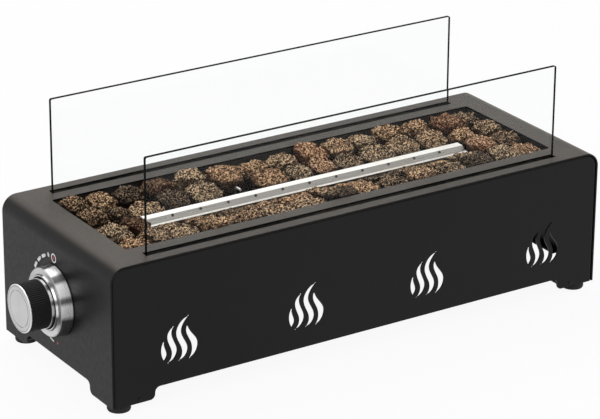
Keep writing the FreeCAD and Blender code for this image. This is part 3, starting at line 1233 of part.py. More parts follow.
def electrode():
    """The spark electrode beside the burner: a bent rod in a ceramic, held down by a bracket."""
    x, y = "electrode_x", "electrode_depth"
    tail = "insulator_tail + terminal_length"
    bend_z = "tray_floor + electrode_height"
    upright = rod("electrode_upright", "electrode_rod",
                  f"{tail} + tray_gauge + electrode_height", x, y, f"tray_under - ({tail})")
    bend = quarter_bend("electrode_bend_ring", "electrode_bend", "electrode_rod", x, f"{y} - electrode_bend", bend_z)
    bend.Placement = FreeCAD.Placement(bend.Placement.Base, Rotation(Vector(0, 1, 0), -90))
    tip = rod("electrode_tip", "electrode_rod", f"{y} - electrode_bend - shoulder_half - spark_gap",
              x, f"{y} - electrode_bend", f"{bend_z} + electrode_bend", "-Y")
    wire = fuse("electrode_rod", upright, bend, tip)
    points = [
        ("electrode_rod + nut_fit", "-(tray_gauge + insulator_tail)"),
        ("insulator_radius", "-(tray_gauge + insulator_tail)"),
        ("insulator_radius", "0"),
        ("insulator_collar", "0"),
        ("insulator_collar", "insulator_collar_height"),
        ("insulator_radius", "insulator_collar_height"),
        ("insulator_radius", "insulator_rise - insulator_nose"),
        ("insulator_radius - insulator_nose", "insulator_rise"),
        ("electrode_rod + nut_fit", "insulator_rise"),
    ]
    ceramic = turned("electrode_insulator", points, x, y, "tray_floor")
    screw_x = f"{x} + bracket_reach"
    strap = box("strap_top", "bracket_reach", "bracket_width", "stand_gauge",
                f"{x} + insulator_collar + stand_gauge - bracket_reach / 2", y, "tray_floor + insulator_collar_height")
    leg = box("strap_leg", "stand_gauge", "bracket_width", "insulator_collar_height + stand_gauge",
              f"{x} + insulator_collar + stand_gauge / 2 + nut_fit", y, "tray_floor")
    foot = box("strap_foot", "bracket_reach - insulator_collar + stud_radius * 2", "bracket_width", "stand_gauge",
               f"{x} + (bracket_reach + insulator_collar) / 2 + stud_radius + nut_fit", y, "tray_floor")
    ring = rod("strap_hole", "insulator_radius + nut_fit", f"stand_gauge + 2 * {THROUGH}",
               x, y, f"tray_floor + insulator_collar_height - {THROUGH}")
    hole = rod("strap_screw_hole", "stud_radius + hole_fit", f"stand_gauge + 2 * {THROUGH}",
               screw_x, y, f"tray_floor - {THROUGH}")
    bracket = cut("electrode_bracket", fuse("strap_blank", strap, leg, foot), ring, hole)
    shank = "stand_gauge + tray_gauge + small_nut_height + thread_spare / 2"
    head = rod("electrode_screw_head", "small_head_radius", "small_head_height",
               screw_x, y, "tray_floor + stand_gauge")
    thread = rod("electrode_screw_shank", "stud_radius", shank, screw_x, y, f"tray_floor + stand_gauge - ({shank})")
    screw = fuse("electrode_screw_whole", head, thread)
    fixing = nut("electrode_nut", "small_nut_flats", "small_nut_height", "stud_radius",
                 screw_x, y, "tray_under - small_nut_height")
    return [wire, ceramic, bracket, group("electrode_screw", screw, fixing)]


def piezo_igniter():
    """The piezo unit beside the valve: a square base, a round body and a terminal for the lead."""
    base = box("piezo_square", "piezo_base", "piezo_size", "piezo_size",
               "piezo_x + piezo_base / 2", "piezo_y", "axis_z - piezo_size / 2")
    body = rod("piezo_round", "piezo_barrel", "piezo_length - piezo_base",
               "piezo_x + piezo_base", "piezo_y", "axis_z", "X")
    terminal = rod("piezo_end", "piezo_pin", "piezo_terminal",
                   "piezo_x + piezo_length", "piezo_y", "axis_z", "X")
    return fuse("piezo_igniter", base, body, terminal)


# The ignition lead: for each point its share of the way from the igniter to the electrode along X,
# its share of the way along Y, and how far it hangs below the tray.
LEAD_ROUTE = [(0.36, -0.09, 12), (0.56, 0.07, 8), (0.73, 0.6, 12.5)]


def lead_points():
    """The corners of the lead's route, from the igniter to the boot."""
    start = Vector(size("lead_start_x"), size("piezo_y"), size("axis_z"))
    end = Vector(size("lead_end_x"), size("electrode_depth"), size("terminal_z"))
    stub = Vector(size("lead_stub"), 0, 0)
    points = [start, start + stub]
    for along, across, hang in LEAD_ROUTE:
        x = start.x + along * (end.x - start.x)
        y = start.y + across * (end.y - start.y)
        points.append(Vector(x, y, size("tray_under") - hang))
    return points + [end - stub, end]


def lead_wire(points):
    """Straight runs joined by tangent arcs as large as the runs allow."""
    edges = []
    last = points[0]
    for before, corner, after in zip(points, points[1:], points[2:]):
        back = (before - corner).normalize()
        ahead = (after - corner).normalize()
        trim = 0.45 * min((corner - before).Length, (after - corner).Length)
        half_turn = (math.pi - back.getAngle(ahead)) / 2
        radius = trim / math.tan(half_turn)
        print("lead radius", round(radius, 1))
        inward = (back + ahead).normalize()
        middle = corner + inward * (radius / math.cos(half_turn) - radius)
        enter, leave = corner + back * trim, corner + ahead * trim
        edges.append(Part.LineSegment(last, enter).toShape())
        edges.append(Part.Arc(enter, middle, leave).toShape())
        last = leave
    edges.append(Part.LineSegment(last, points[-1]).toShape())
    return Part.Wire(edges)


def ignition_lead():
    """The lead and its rubber boot on the electrode's terminal, and the clips that hold it to the tray."""
    points = lead_points()
    path = lead_wire(points)
    section = Part.Wire(Part.makeCircle(size("lead_radius"), points[0], points[1] - points[0]))
    tube = DOC.addObject("Part::Feature", "lead_tube")
    tube.Shape = path.makePipeShell([section], True, False)
    sleeve_z = "terminal_z - boot_radius"
    sleeve = rod("boot_sleeve", "boot_radius", "terminal_length + boot_radius",
                 "electrode_x", "electrode_depth", sleeve_z)
    branch = rod("boot_side", "boot_branch", "boot_reach", "lead_end_x", "electrode_depth", "terminal_z", "X")
    bore = rod("boot_bore", "electrode_rod + nut_fit", f"terminal_length + {THROUGH}",
               "electrode_x", "electrode_depth", "terminal_z")
    boot = cut("lead_boot", fuse("boot_blank", sleeve, branch), bore)
    clips = DOC.addObject("Part::Feature", "lead_clips")
    clips.Shape = Part.makeCompound([lead_clip(points[at], points[at + 1]) for at in (2, 4)])
    return [group("ignition_lead", tube, boot), clips]


def lead_clip(start, end):
    """A ring round the middle of a run of the lead, with a tab up to the tray."""
    length = size("clip_length")
    tab_length = size("clip_tab")
    bore = size("lead_radius") + size("nut_fit")
    outer = bore + size("clip_wall")
    middle = (start + end) * 0.5
    along = (end - start).normalize()
    base = middle - along * (length / 2)
    ring = Part.makeCylinder(outer, length, base, along)
    rise = size("tray_under") - middle.z
    across = Rotation(Vector(1, 0, 0), Vector(along.x, along.y, 0))
    tab = Part.makeBox(tab_length, size("clip_wall"), rise)
    tab.translate(Vector(-tab_length / 2, -size("clip_wall") / 2, 0))
    tab.Placement = FreeCAD.Placement(middle, across) * tab.Placement
    return ring.fuse(tab).cut(Part.makeCylinder(bore, 3 * length, middle - along * (1.5 * length), along))


# ---- lava rock --------------------------------------------------------------------------------

def clipped(faces, normal, offset):
    """The part of a convex solid, given as a list of faces, that lies on the inner side of a plane."""
    kept = []
    rim = []
    for face in faces:
        loop = []
        for here, there in zip(face, face[1:] + face[:1]):
            above = normal.dot(here) - offset
            next_above = normal.dot(there) - offset
            if above <= 0:
                loop.append(here)
            if above * next_above < 0:
                crossing = here + (there - here) * (above / (above - next_above))
                loop.append(crossing)
                rim.append(crossing)
        if len(loop) > 2:
            kept.append(loop)
    if len(rim) > 2:
        kept.append(sorted_round(rim, normal))
    return kept


def sorted_round(points, normal):
    """The corners of a cut face in order about its normal, each once."""
    middle = sum(points, Vector()) * (1 / len(points))
    across = (points[0] - middle).normalize()
    along = normal.cross(across)
    ordered = sorted(points, key=lambda p: math.atan2((p - middle).dot(along), (p - middle).dot(across)))
    return [p for p, before in zip(ordered, ordered[-1:] + ordered[:-1]) if (p - before).Length > 1e-4]


def prism_faces(low, high):
    """The six faces of a box, as lists of corners."""
    a, b, c, d = ((low.x, low.y), (high.x, low.y), (high.x, high.y), (low.x, high.y))
    base = [Vector(*p, low.z) for p in (a, b, c, d)]
    top = [Vector(*p, high.z) for p in (a, b, c, d)]
    sides = [[base[i], base[(i + 1) % 4], top[(i + 1) % 4], top[i]] for i in range(4)]
    return [base[::-1], top] + sides


def solid_from(faces):
    """A solid from the faces of a convex shape."""
    shell = Part.makeShell([Part.Face(Part.makePolygon(loop + loop[:1])) for loop in faces])
    shell.sewShape()
    solid = Part.makeSolid(shell)
    if solid.Volume < 0:
        solid.reverse()
    return solid


def seeds(low, high, pitch, chance):
    """Uneven middles for the rocks of one layer, in rows that fill a rectangle."""
    columns = max(1, round((high.x - low.x) / pitch))
    rows = max(1, round((high.y - low.y) / pitch))
    step_x = (high.x - low.x) / columns
    step_y = (high.y - low.y) / rows
    spots = []
    for column in range(columns):
        for row in range(rows):
            x = low.x + (column + 0.5 + chance.uniform(-0.22, 0.22)) * step_x
            y = low.y + (row + 0.5 + chance.uniform(-0.22, 0.22)) * step_y
            spots.append(Vector(x, y, 0))
    return spots


def rock(faces, middle, half, chance, fullness):
    """Knock the corners off a block until it is an uneven stone that still stands on its flat base."""
    for lean, sides in ((0, 7), (38, 7), (66, 5), (-40, 5)):
        turn = chance.uniform(0, 360)
        for at in range(sides):
            around = math.radians(turn + 360 * at / sides + chance.uniform(-14, 14))
            up = math.radians(lean + chance.uniform(-9, 9))
            normal = Vector(math.cos(up) * math.cos(around), math.cos(up) * math.sin(around), math.sin(up))
            reach = math.sqrt((half.x * normal.x) ** 2 + (half.y * normal.y) ** 2 + (half.z * normal.z) ** 2)
            reach *= fullness * chance.uniform(0.94, 1.05)
            if by_wall(middle.x + math.copysign(half.x, normal.x), middle.y + math.copysign(half.y, normal.y), normal):
                reach *= size("wall_fullness")
            faces = clipped(faces, normal, normal.dot(middle) + reach)
    return solid_from(faces)


def by_wall(x, y, normal):
    """Whether the side of a stone that looks this way, with its corner at x and y, stands along the tray wall."""
    margin = 2 * size("rock_margin")
    past_end = abs(x - size("casing_mid")) > size("opening_length") / 2 - margin
    past_side = abs(y) > size("opening_depth") / 2 - margin
    return past_end and abs(normal.x) > 0.5 or past_side and abs(normal.y) > 0.5


def bank(side, extra):
    """The slope in which the rocks of a long side fall towards the burner: its normal and its offset."""
    lean = math.radians(size("rock_lean"))
    normal = Vector(0, -side * math.sin(lean), math.cos(lean))
    foot = Vector(0, side * (size("lip_half") + size("rock_margin")), size("lip_top") + size("rock_bank") + extra)
    return normal, normal.dot(foot)


def rock_layer(low, high, pitch, chance, spread, fullness, side=0):
    """One layer of rocks in a rectangle, each kept to its own share of the floor."""
    gap = size("rock_gap")
    spots = seeds(low, high, pitch, chance)
    solids = []
    for spot in spots:
        top = high.z + (chance.uniform(-1, 1) * spread)
        faces = prism_faces(low, Vector(high.x, high.y, top))
        if side:
            faces = clipped(faces, *bank(side, chance.uniform(-0.5, 0.5) * spread))
        for other in spots:
            if other is spot:
                continue
            toward = (other - spot).normalize()
            faces = clipped(faces, toward, toward.dot((spot + other) * 0.5) - gap / 2)
        corners = [corner for face in faces for corner in face]
        least = Vector(*(min(getattr(corner, axis) for corner in corners) for axis in "xyz"))
        most = Vector(*(max(getattr(corner, axis) for corner in corners) for axis in "xyz"))
        solids.append(rock(faces, (least + most) * 0.5, (most - least) * 0.5, chance, fullness))
    return solids


def rock_bed(name, rectangles, chance, side=0):
    """A bed of lava rock: a lower layer on the tray floor and an upper one on it, up to the top face."""
    floor = size("tray_floor")
    middle = floor + size("rock_base")
    top = size("top_face") + size("rock_rise")
    solids = []
    for left, front, right, rear in rectangles:
        low = Vector(left, front, floor)
        solids += rock_layer(low, Vector(right, rear, middle), size("lower_rock_pitch"), chance, 0,
                             size("lower_rock_fullness"))
        low = Vector(left, front, middle)
        solids += rock_layer(low, Vector(right, rear, top), size("rock_pitch"), chance, size("rock_spread"),
                             size("rock_fullness"), side)
    bed = DOC.addObject("Part::Feature", name)
    bed.Shape = Part.makeCompound(solids)
    return bed


def lava_rocks():
    """Four beds of rock round the burner, with a space left round the electrode."""
    chance = random.Random(11)
    margin = size("rock_margin")
    middle = size("casing_mid")
    left = middle - size("opening_length") / 2 + margin
    right = middle + size("opening_length") / 2 - margin
    rear = size("opening_depth") / 2 - margin
    burner_left = middle - size("burner_length") / 2 - margin
    burner_right = middle + size("burner_length") / 2 + margin
    trench = size("lip_half") + margin
    free_left = size("electrode_x") - size("insulator_collar") - size("electrode_clear")
    free_right = size("electrode_x") + size("bracket_reach") + size("electrode_clear")
    free_rear = size("electrode_depth") + size("bracket_width") / 2 + margin
    gap = size("rock_gap")
    rear_bed = [
        (burner_left + gap, trench, free_left, rear),
        (free_left + gap, free_rear, free_right - gap, rear),
        (free_right, trench, burner_right - gap, rear),
    ]
    return [
        rock_bed("lava_rocks_left", [(left, -rear, burner_left, rear)], chance),
        rock_bed("lava_rocks_front", [(burner_left + gap, -rear, burner_right - gap, -trench)], chance, -1),
        rock_bed("lava_rocks_rear", rear_bed, chance, 1),
        rock_bed("lava_rocks_right", [(burner_right, -rear, right, rear)], chance),
    ]


# ---- the whole ----------------------------------------------------------------------------------

def build():
    """Every sub-part of the fire pit."""
    nodes = [wrap_shell()]
    nodes += panels()
    nodes += corners()
    nodes += glass_side("front", "-")
    nodes += glass_side("rear", "")
    nodes.append(burner_tray())
    nodes += tray_fixings()
    nodes += burner_halves()
    nodes += burner_stands()
    nodes += venturi()
    nodes.append(knob_bezel())
    nodes.append(knob_grip())
    nodes += knob_trim()
    nodes.append(valve_stem())
    nodes.append(valve_plug())
    nodes.append(valve_spring())
    nodes += valve_housing()
    nodes.append(valve_screws())
    nodes.append(gas_jet())
    nodes += supply_line()
    nodes += gas_inlet()
    nodes += electrode()
    nodes.append(piezo_igniter())
    nodes += ignition_lead()
    nodes += lava_rocks()
    return nodes


def check(nodes):
    """Stop if anything in the document failed or a sub-part has no sound shape."""
    DOC.recompute()
    for thing in DOC.Objects:
        if "Invalid" in thing.State or "Error" in thing.State:
            raise RuntimeError(f"{thing.Name} failed: {thing.State}")
    for node in nodes:
        if node.Shape.isNull() or not node.Shape.isValid():
            raise RuntimeError(f"{node.Label} has no sound shape")


def write(nodes):
    """One STEP file for each sub-part, named by its label."""
    os.makedirs("parts", exist_ok=True)
    for node in nodes:
        node.Shape.exportStep(f"parts/{node.Label}.step")


fill_sheets()
NODES = build()
check(NODES)
write(NODES)
for piece in NODES:
    print(piece.Label, len(piece.Shape.Solids), round(piece.Shape.Volume, 1))
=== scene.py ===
"""Looks of a tabletop gas fire pit, laid out as an add-on and run as a script.

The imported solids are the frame. Each operator below dresses one group of pieces or builds new ones
round them. Lengths are in metres. X runs along the casing with the knob at -X, the front is at -Y.
"""
import math
import random

import bpy
from bpy.props import FloatProperty, FloatVectorProperty, PointerProperty
from mathutils import Matrix, Vector


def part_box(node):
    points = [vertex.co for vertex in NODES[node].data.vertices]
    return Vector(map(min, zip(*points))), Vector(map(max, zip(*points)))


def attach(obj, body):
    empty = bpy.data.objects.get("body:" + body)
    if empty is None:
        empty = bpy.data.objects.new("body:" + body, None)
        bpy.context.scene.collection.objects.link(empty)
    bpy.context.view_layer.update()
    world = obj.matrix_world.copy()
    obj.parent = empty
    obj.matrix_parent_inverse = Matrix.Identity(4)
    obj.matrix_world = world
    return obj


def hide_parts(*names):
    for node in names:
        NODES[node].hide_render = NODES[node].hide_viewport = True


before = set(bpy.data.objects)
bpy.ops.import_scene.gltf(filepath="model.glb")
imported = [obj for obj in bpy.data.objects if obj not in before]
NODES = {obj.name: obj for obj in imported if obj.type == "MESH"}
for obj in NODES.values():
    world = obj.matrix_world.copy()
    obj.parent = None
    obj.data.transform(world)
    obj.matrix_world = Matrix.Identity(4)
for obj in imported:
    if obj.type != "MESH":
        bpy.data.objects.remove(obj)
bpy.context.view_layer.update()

bl_info = {
    "name": "Tabletop Fire Pit",
    "version": (1, 0, 0),
    "blender": (4, 5, 0),
    "location": "View3D > Sidebar > Fire Pit",
    "description": "Finishes, lava rock, dial marks and studio of a tabletop gas fire pit",
    "category": "Object",
}

MM = 0.001
ROCK_BEDS = {
    "lava_rocks_left": "rock_bed_left",
    "lava_rocks_front": "rock_bed_front",
    "lava_rocks_rear": "rock_bed_rear",
    "lava_rocks_right": "rock_bed_right",
}
WRAP_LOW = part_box("wrap_shell")[0]
BEZEL_LOW, BEZEL_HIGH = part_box("knob_bezel")
BEZEL_MIDDLE = (BEZEL_LOW + BEZEL_HIGH) / 2
KNOB_AXIS = Vector((BEZEL_HIGH.x, BEZEL_MIDDLE.y, BEZEL_MIDDLE.z))


# ---- settings ----

def colour(name, text, red, green, blue):
    """A colour that the panel shows as a swatch."""
    return FloatVectorProperty(
        name=name, description=text, subtype="COLOR", size=3, min=0, max=1,
        default=(red, green, blue),
    )


def length(name, text, millimetres):
    """A length that the panel shows in scene units."""
    return FloatProperty(
        name=name, description=text, subtype="DISTANCE", unit="LENGTH", min=0,
        default=millimetres * MM,
    )


def position(name, text, x, y, z):
    """A point in the scene, in metres."""
    return FloatVectorProperty(
        name=name, description=text, subtype="TRANSLATION", unit="LENGTH", size=3, default=(x, y, z)
    )


def bearing(name, text, degrees):
    """An angle that the panel shows in degrees."""
    return FloatProperty(
        name=name, description=text, subtype="ANGLE", unit="ROTATION", default=math.radians(degrees)
    )


def amount(name, text, value):
    """A plain number that isn't below zero."""
    return FloatProperty(name=name, description=text, min=0, default=value)


class FirePitColours(bpy.types.PropertyGroup):
    """Colours of the finishes."""

    coat: colour("Powder coat", "Satin black coat of the casing", 0.0056, 0.0054, 0.0053)
    # Also a painted sheen: upward faces of the coat are mixed towards this colour to light the top.
    dust: colour("Dust", "Fine dust on what faces up", 0.128, 0.104, 0.083)
    tray: colour("Tray", "Heat-proof coat of the burner tray", 0.018, 0.017, 0.016)
    tray_burnt: colour("Tray, burnt", "Where heat has dulled the tray", 0.045, 0.036, 0.028)
    zinc: colour("Zinc", "Zinc plating of brackets and fasteners", 0.5, 0.5, 0.49)
    black_zinc: colour("Black zinc", "Blackened plating of the corner plates", 0.05, 0.05, 0.049)
    glass: colour("Glass", "Tint of the wind guards", 0.98, 0.988, 0.984)
    # Painted shade: the near-black stands in for how dark the glass edge looks.
    glass_edge: colour("Glass edge", "Ground edge of the glass", 0.0015, 0.002, 0.002)
    glass_edge_mark: colour("Glass edge, marks", "Marks of grinding", 0.006, 0.008, 0.0075)
    stainless: colour("Stainless steel", "Sheet of the burner", 0.86, 0.84, 0.8)
    heat_tint: colour("Heat tint", "Straw tint of heated steel", 0.66, 0.52, 0.34)
    steel_shade: colour("Steel, shaded", "Steel that doesn't face up or down", 0.16, 0.145, 0.13)
    soot: colour("Soot", "Soot in the burner and round its ports", 0.02, 0.018, 0.016)
    chrome: colour("Chrome", "Plating of the bezel and the skirt ring", 0.9, 0.9, 0.9)
    cap: colour("Knob cap", "Spun metal cap", 0.58, 0.58, 0.58)
    grip: colour("Grip", "Moulded grip of the knob", 0.007, 0.007, 0.007)
    igniter: colour("Igniter", "Moulding of the igniter", 0.014, 0.014, 0.014)
    rubber: colour("Rubber", "Feet and glass profiles", 0.012, 0.012, 0.012)
    brass: colour("Brass", "Valve, jet and gas inlet", 0.72, 0.52, 0.22)
    aluminium: colour("Aluminium", "Supply pipe", 0.74, 0.75, 0.76)
    ceramic: colour("Ceramic", "Insulator of the electrode", 0.78, 0.75, 0.68)
    lead: colour("Lead", "Silicone of the ignition lead", 0.3, 0.03, 0.02)
    rock_dark: colour("Rock, dark", "Dark lava rock", 0.016, 0.011, 0.008)
    rock_brown: colour("Rock, brown", "Brown lava rock", 0.13, 0.068, 0.032)
    rock_olive: colour("Rock, olive", "Grey-brown lava rock", 0.09, 0.062, 0.034)
    rock_red: colour("Rock, red", "Red lava rock", 0.2, 0.062, 0.026)
    rock_tan: colour("Specks, tan", "Specks and ridges of the brown rock", 0.94, 0.62, 0.37)
    rock_grey: colour("Specks, grey", "Specks and ridges of the grey-brown rock", 0.87, 0.65, 0.43)
    print_white: colour("White print", "Dial marks", 0.9, 0.9, 0.9)
    print_red: colour("Red print", "Dial marks", 0.42, 0.04, 0.06)
    floor: colour("Floor", "Pale floor of the studio", 0.88, 0.88, 0.88)


class FirePitSizes(bpy.types.PropertyGroup):
    """Sizes of what is modelled here."""

    rock_mesh: length("Rock mesh", "Edge of the faces of a rock at the top of a bed", 1.3)
    low_rock_mesh: length("Lower rock mesh", "Edge of the faces of a rock under others", 3)
    rock_lump: length("Rock lumps", "How far lumps stand out of a rock", 4.5)
    rock_lump_size: length("Size of a lump", "Distance between two lumps", 14)
    rock_scoop: length("Scoop depth", "Depth of the burst bubbles of a rock", 2.2)
    rock_scoop_size: length("Scoop size", "Distance between two burst bubbles", 5.5)
    rock_pore: length("Pore depth", "Depth of the pores of a rock", 1.8)
    rock_pore_size: length("Pore size", "Distance between two pores", 2.8)
    print_depth: length("Print", "Thickness of the dial marks", 0.08)


class FirePitView(bpy.types.PropertyGroup):
    """Camera, lights and floor."""

    target: position("Target", "Point that the camera looks at", 0.027145, 0.023684, 0.092381)
    azimuth: bearing("Azimuth", "Camera round the object", -33.007)
    elevation: bearing("Elevation", "Camera above the table", 22.384)
    roll: bearing("Roll", "Camera about its own axis", 0.338)
    distance: length("Distance", "Camera to its target", 2715)
    lens: amount("Lens", "Focal length in millimetres", 177.11)
    sensor: amount("Sensor", "Width of the camera's sensor in millimetres", 36)
    nearest: length("Nearest", "Nearest that the camera sees", 50)
    farthest: length("Farthest", "Farthest that the camera sees", 50000)
    sky_light: amount("Sky", "Level of the light from all round", 0.5)
    key_power: amount("Key light", "Power of the light in front", 14)
    key_place: position("Key light's place", "Middle of the light in front", -1.4, -1.25, 1.5)
    key_size: length("Key light's size", "Side of the light in front", 1200)
    top_power: amount("Top light", "Power of the light above", 16)
    top_place: position("Top light's place", "Middle of the light above", 0.2, 0.9, 1.7)
    top_size: length("Top light's size", "Side of the light above", 1500)
    light_aim: position("Aim", "Point that both lights look at", 0, 0, 0.08)
    floor_size: length("Floor", "Side of the floor", 14000)
    floor_glow: amount("Floor glow", "Share of the floor that shadows don't darken", 0.93)


# ---- finishes ----

class Finish:
    """A material built round one shader, with its patterns in object coordinates."""

    # Sockets of a colour mix: its two colours and its result.
    MIX_FIRST, MIX_SECOND, MIX_RESULT = 6, 7, 2

    def __init__(self, name, base, **settings):
        self.material = bpy.data.materials.new(name)
        self.material.use_nodes = True
        self.tree = self.material.node_tree
        self.shader = self.tree.nodes["Principled BSDF"]
        self.shader.inputs["Base Color"].default_value = (*base, 1)
        for socket, value in settings.items():
            self.shader.inputs[socket.replace("_", " ")].default_value = value
        places = self.add("ShaderNodeTexCoord").outputs
        self.coords, self.normal = places["Object"], places["Normal"]
        self.relief = None

    def add(self, kind, **settings):
        """A node with its options set."""
        node = self.tree.nodes.new(kind)
        for option, value in settings.items():
            setattr(node, option, value)
        return node

    def link(self, source, socket):
        """Join an output to an input."""
        self.tree.links.new(source, socket)

    def stretched(self, scale, centre=(0, 0, 0)):
        """Object coordinates moved to a centre and stretched along each axis."""
        shift = self.add("ShaderNodeVectorMath", operation="SUBTRACT")
        self.link(self.coords, shift.inputs[0])
        shift.inputs[1].default_value = centre
        stretch = self.add("ShaderNodeVectorMath", operation="MULTIPLY")
        self.link(shift.outputs[0], stretch.inputs[0])
        stretch.inputs[1].default_value = scale
        return stretch.outputs[0]

    def noise(self, scale, detail, roughness=0.5, coords=None):
        """Cloudy noise from 0 to 1, with this many clouds to a metre."""
        node = self.add("ShaderNodeTexNoise")
        self.link(coords or self.coords, node.inputs["Vector"])
        node.inputs["Scale"].default_value = scale
        node.inputs["Detail"].default_value = detail
        node.inputs["Roughness"].default_value = roughness
        return node.outputs["Fac"]

    def cells(self, scale):
        """Distance to the nearest of scattered points, with this many to a metre along a line."""
        node = self.add("ShaderNodeTexVoronoi")
        self.link(self.coords, node.inputs["Vector"])
        node.inputs["Scale"].default_value = scale
        return node.outputs["Distance"]

    def spread(self, value, low, high, start=0.0, end=1.0):
        """A value taken smoothly from low..high to start..end."""
        node = self.add("ShaderNodeMapRange", interpolation_type="SMOOTHSTEP")
        self.link(value, node.inputs["Value"])
        limits = {"From Min": low, "From Max": high, "To Min": start, "To Max": end}
        for socket, limit in limits.items():
            node.inputs[socket].default_value = limit
        return node.outputs["Result"]

    def maths(self, operation, first, *others):
        """A sum on one value, or on several one after the other."""
        for other in others or (None,):
            node = self.add("ShaderNodeMath", operation=operation)
            for socket, value in zip(node.inputs, (first, other)):
                if isinstance(value, (int, float)):
                    socket.default_value = value
                elif value is not None:
                    self.link(value, socket)
            first = node.outputs[0]
        return first

    def blend(self, share, first, second):
        """Two colours mixed by a share."""
        node = self.add("ShaderNodeMix", data_type="RGBA", clamp_result=True)
        self.link(share, node.inputs["Factor"])
        for at, value in ((self.MIX_FIRST, first), (self.MIX_SECOND, second)):
            if isinstance(value, bpy.types.NodeSocket):
                self.link(value, node.inputs[at])
            else:
                node.inputs[at].default_value = (*value, 1)
        return node.outputs[self.MIX_RESULT]

    def mottled(self, tint, value, low, high, first=1.0, second=1.0):
        """A tint that goes from a first to a second brightness as a value goes from low to high."""
        return self.blend(self.spread(value, low, high), scaled(tint, first), scaled(tint, second))

    def ramp(self, value, tint, stops):
        """A tint that grows lighter and darker along a value."""
        node = self.add("ShaderNodeValToRGB")
        self.link(value, node.inputs["Fac"])
        marks = node.color_ramp.elements
        while len(marks) < len(stops):
            marks.new(0.5)
        for mark, (place, level) in zip(marks, stops):
            mark.position = place
            mark.color = (*scaled(tint, level), 1)
        return node.outputs["Color"]

    def part(self, vector, letter):
        """One of the three parts of a place or a direction."""
        split = self.add("ShaderNodeSeparateXYZ")
        self.link(vector, split.inputs[0])
        return split.outputs[letter]

    def attribute(self, name):
        """A value stored in the mesh."""
        return self.add("ShaderNodeAttribute", attribute_name=name).outputs["Fac"]

    def colour(self, source):
        """Set the base colour from a pattern."""
        self.link(source, self.shader.inputs["Base Color"])

    def roughness(self, source, low, high):
        """Let a pattern move the roughness between two values."""
        self.link(self.spread(source, 0.25, 0.75, low, high), self.shader.inputs["Roughness"])

    def bump(self, height, distance, strength):
        """Add relief. Each call lies on top of the last one."""
        node = self.add("ShaderNodeBump")
        node.inputs["Strength"].default_value = strength
        node.inputs["Distance"].default_value = distance
        self.link(height, node.inputs["Height"])
        if self.relief is not None:
            self.link(self.relief, node.inputs["Normal"])
        self.relief = node.outputs["Normal"]
        self.link(self.relief, self.shader.inputs["Normal"])

    def soften(self, radius):
        """Light a sharp edge as if it were slightly rounded."""
        node = self.add("ShaderNodeBevel", samples=4)
        node.inputs["Radius"].default_value = radius
        self.relief = node.outputs["Normal"]
        self.link(self.relief, self.shader.inputs["Normal"])


def scaled(base, factor):
    """A colour made lighter or darker."""
    return tuple(min(1.0, part * factor) for part in base)


def powder_coat(tint, dust):
    """Satin black coat with a fine orange peel, and a little dust on what faces up that is also a
    painted sheen lightening the top.
    """
    coat = Finish("black_powder_coat", tint, Roughness=0.4, Specular_IOR_Level=0.17)
    coat.soften(0.5 * MM)
    patches = coat.noise(14, 3)
    black = coat.mottled(tint, patches, 0.3, 0.7, 0.94, 1.06)
    upward = coat.spread(coat.part(coat.normal, "Z"), 0.7, 0.98)
    # Dust and painted sheen: what faces up is mixed towards the warm dust colour, so the top reads
    # lighter.
    dust_and_sheen = coat.maths("MULTIPLY", upward, coat.spread(patches, 0.2, 0.7, 0.34, 0.46))
    coat.colour(coat.blend(dust_and_sheen, black, dust))
    coat.roughness(coat.noise(260, 4), 0.36, 0.45)
    coat.bump(coat.noise(900, 2, 0.4), 0.02 * MM, 0.5)
    coat.bump(coat.cells(2600), 0.006 * MM, 0.4)
    return coat.material


def tray_coat(tint, burnt):
    """Black heat-proof coat, dulled by heat."""
    coat = Finish("tray_coat", tint, Roughness=0.62)
    patches = coat.noise(30, 4, 0.6)
    coat.colour(coat.blend(coat.spread(patches, 0.45, 0.7), tint, burnt))
    coat.roughness(patches, 0.5, 0.75)
    coat.bump(coat.noise(1200, 2), 0.03 * MM, 0.5)
    return coat.material


def zinc_plating(name, tint):
    """Zinc with faint spangles."""
    zinc = Finish(name, tint, Metallic=1.0, Roughness=0.36)
    zinc.soften(0.2 * MM)
    zinc.colour(zinc.mottled(tint, zinc.cells(160), 0.2, 0.8, 0.85, 1.05))
    zinc.roughness(zinc.noise(120, 3), 0.3, 0.46)
    zinc.bump(zinc.noise(1500, 2), 0.01 * MM, 0.5)
    return zinc.material


def fastener_plating(tint):
    """Bright zinc on turned and rolled fasteners."""
    plate = Finish("fastener_plating", scaled(tint, 1.15), Metallic=1.0, Roughness=0.3)
    plate.soften(0.15 * MM)
    plate.roughness(plate.noise(400, 3), 0.24, 0.42)
    plate.bump(plate.noise(2500, 2), 0.006 * MM, 0.6)
    return plate.material


def black_rubber(name, tint):
    """Moulded rubber with a dusty bloom."""
    rubber = Finish(name, tint, Roughness=0.78, Specular_IOR_Level=0.35)
    dust = rubber.noise(90, 4, 0.6)
    rubber.colour(rubber.mottled(tint, dust, 0.4, 0.75, second=2.2))
    rubber.roughness(dust, 0.7, 0.86)
    rubber.bump(rubber.noise(1600, 3), 0.03 * MM, 0.6)
    return rubber.material


def clear_glass(tint):
    """Toughened glass with a faint film of smears."""
    glass = Finish("clear_glass", tint, Roughness=0.0, IOR=1.15, Transmission_Weight=1.0)
    smears = glass.spread(glass.noise(26, 3, 0.6), 0.5, 0.85, 0.0, 0.01)
    glass.link(smears, glass.shader.inputs["Roughness"])
    return glass.material


def ground_edge(tint, marked):
    """Ground edge of the glass, painted almost black as painted shade for how dark the edge looks.
    """
    edge = Finish("ground_glass_edge", tint, Roughness=0.6, Specular_IOR_Level=0.04)
    marks = edge.noise(1, 3, 0.6, edge.stretched((60, 2600, 2600)))
    edge.colour(edge.blend(edge.spread(marks, 0.5, 0.8), tint, marked))
    edge.roughness(marks, 0.5, 0.7)
    edge.bump(marks, 0.01 * MM, 0.5)
    return edge.material


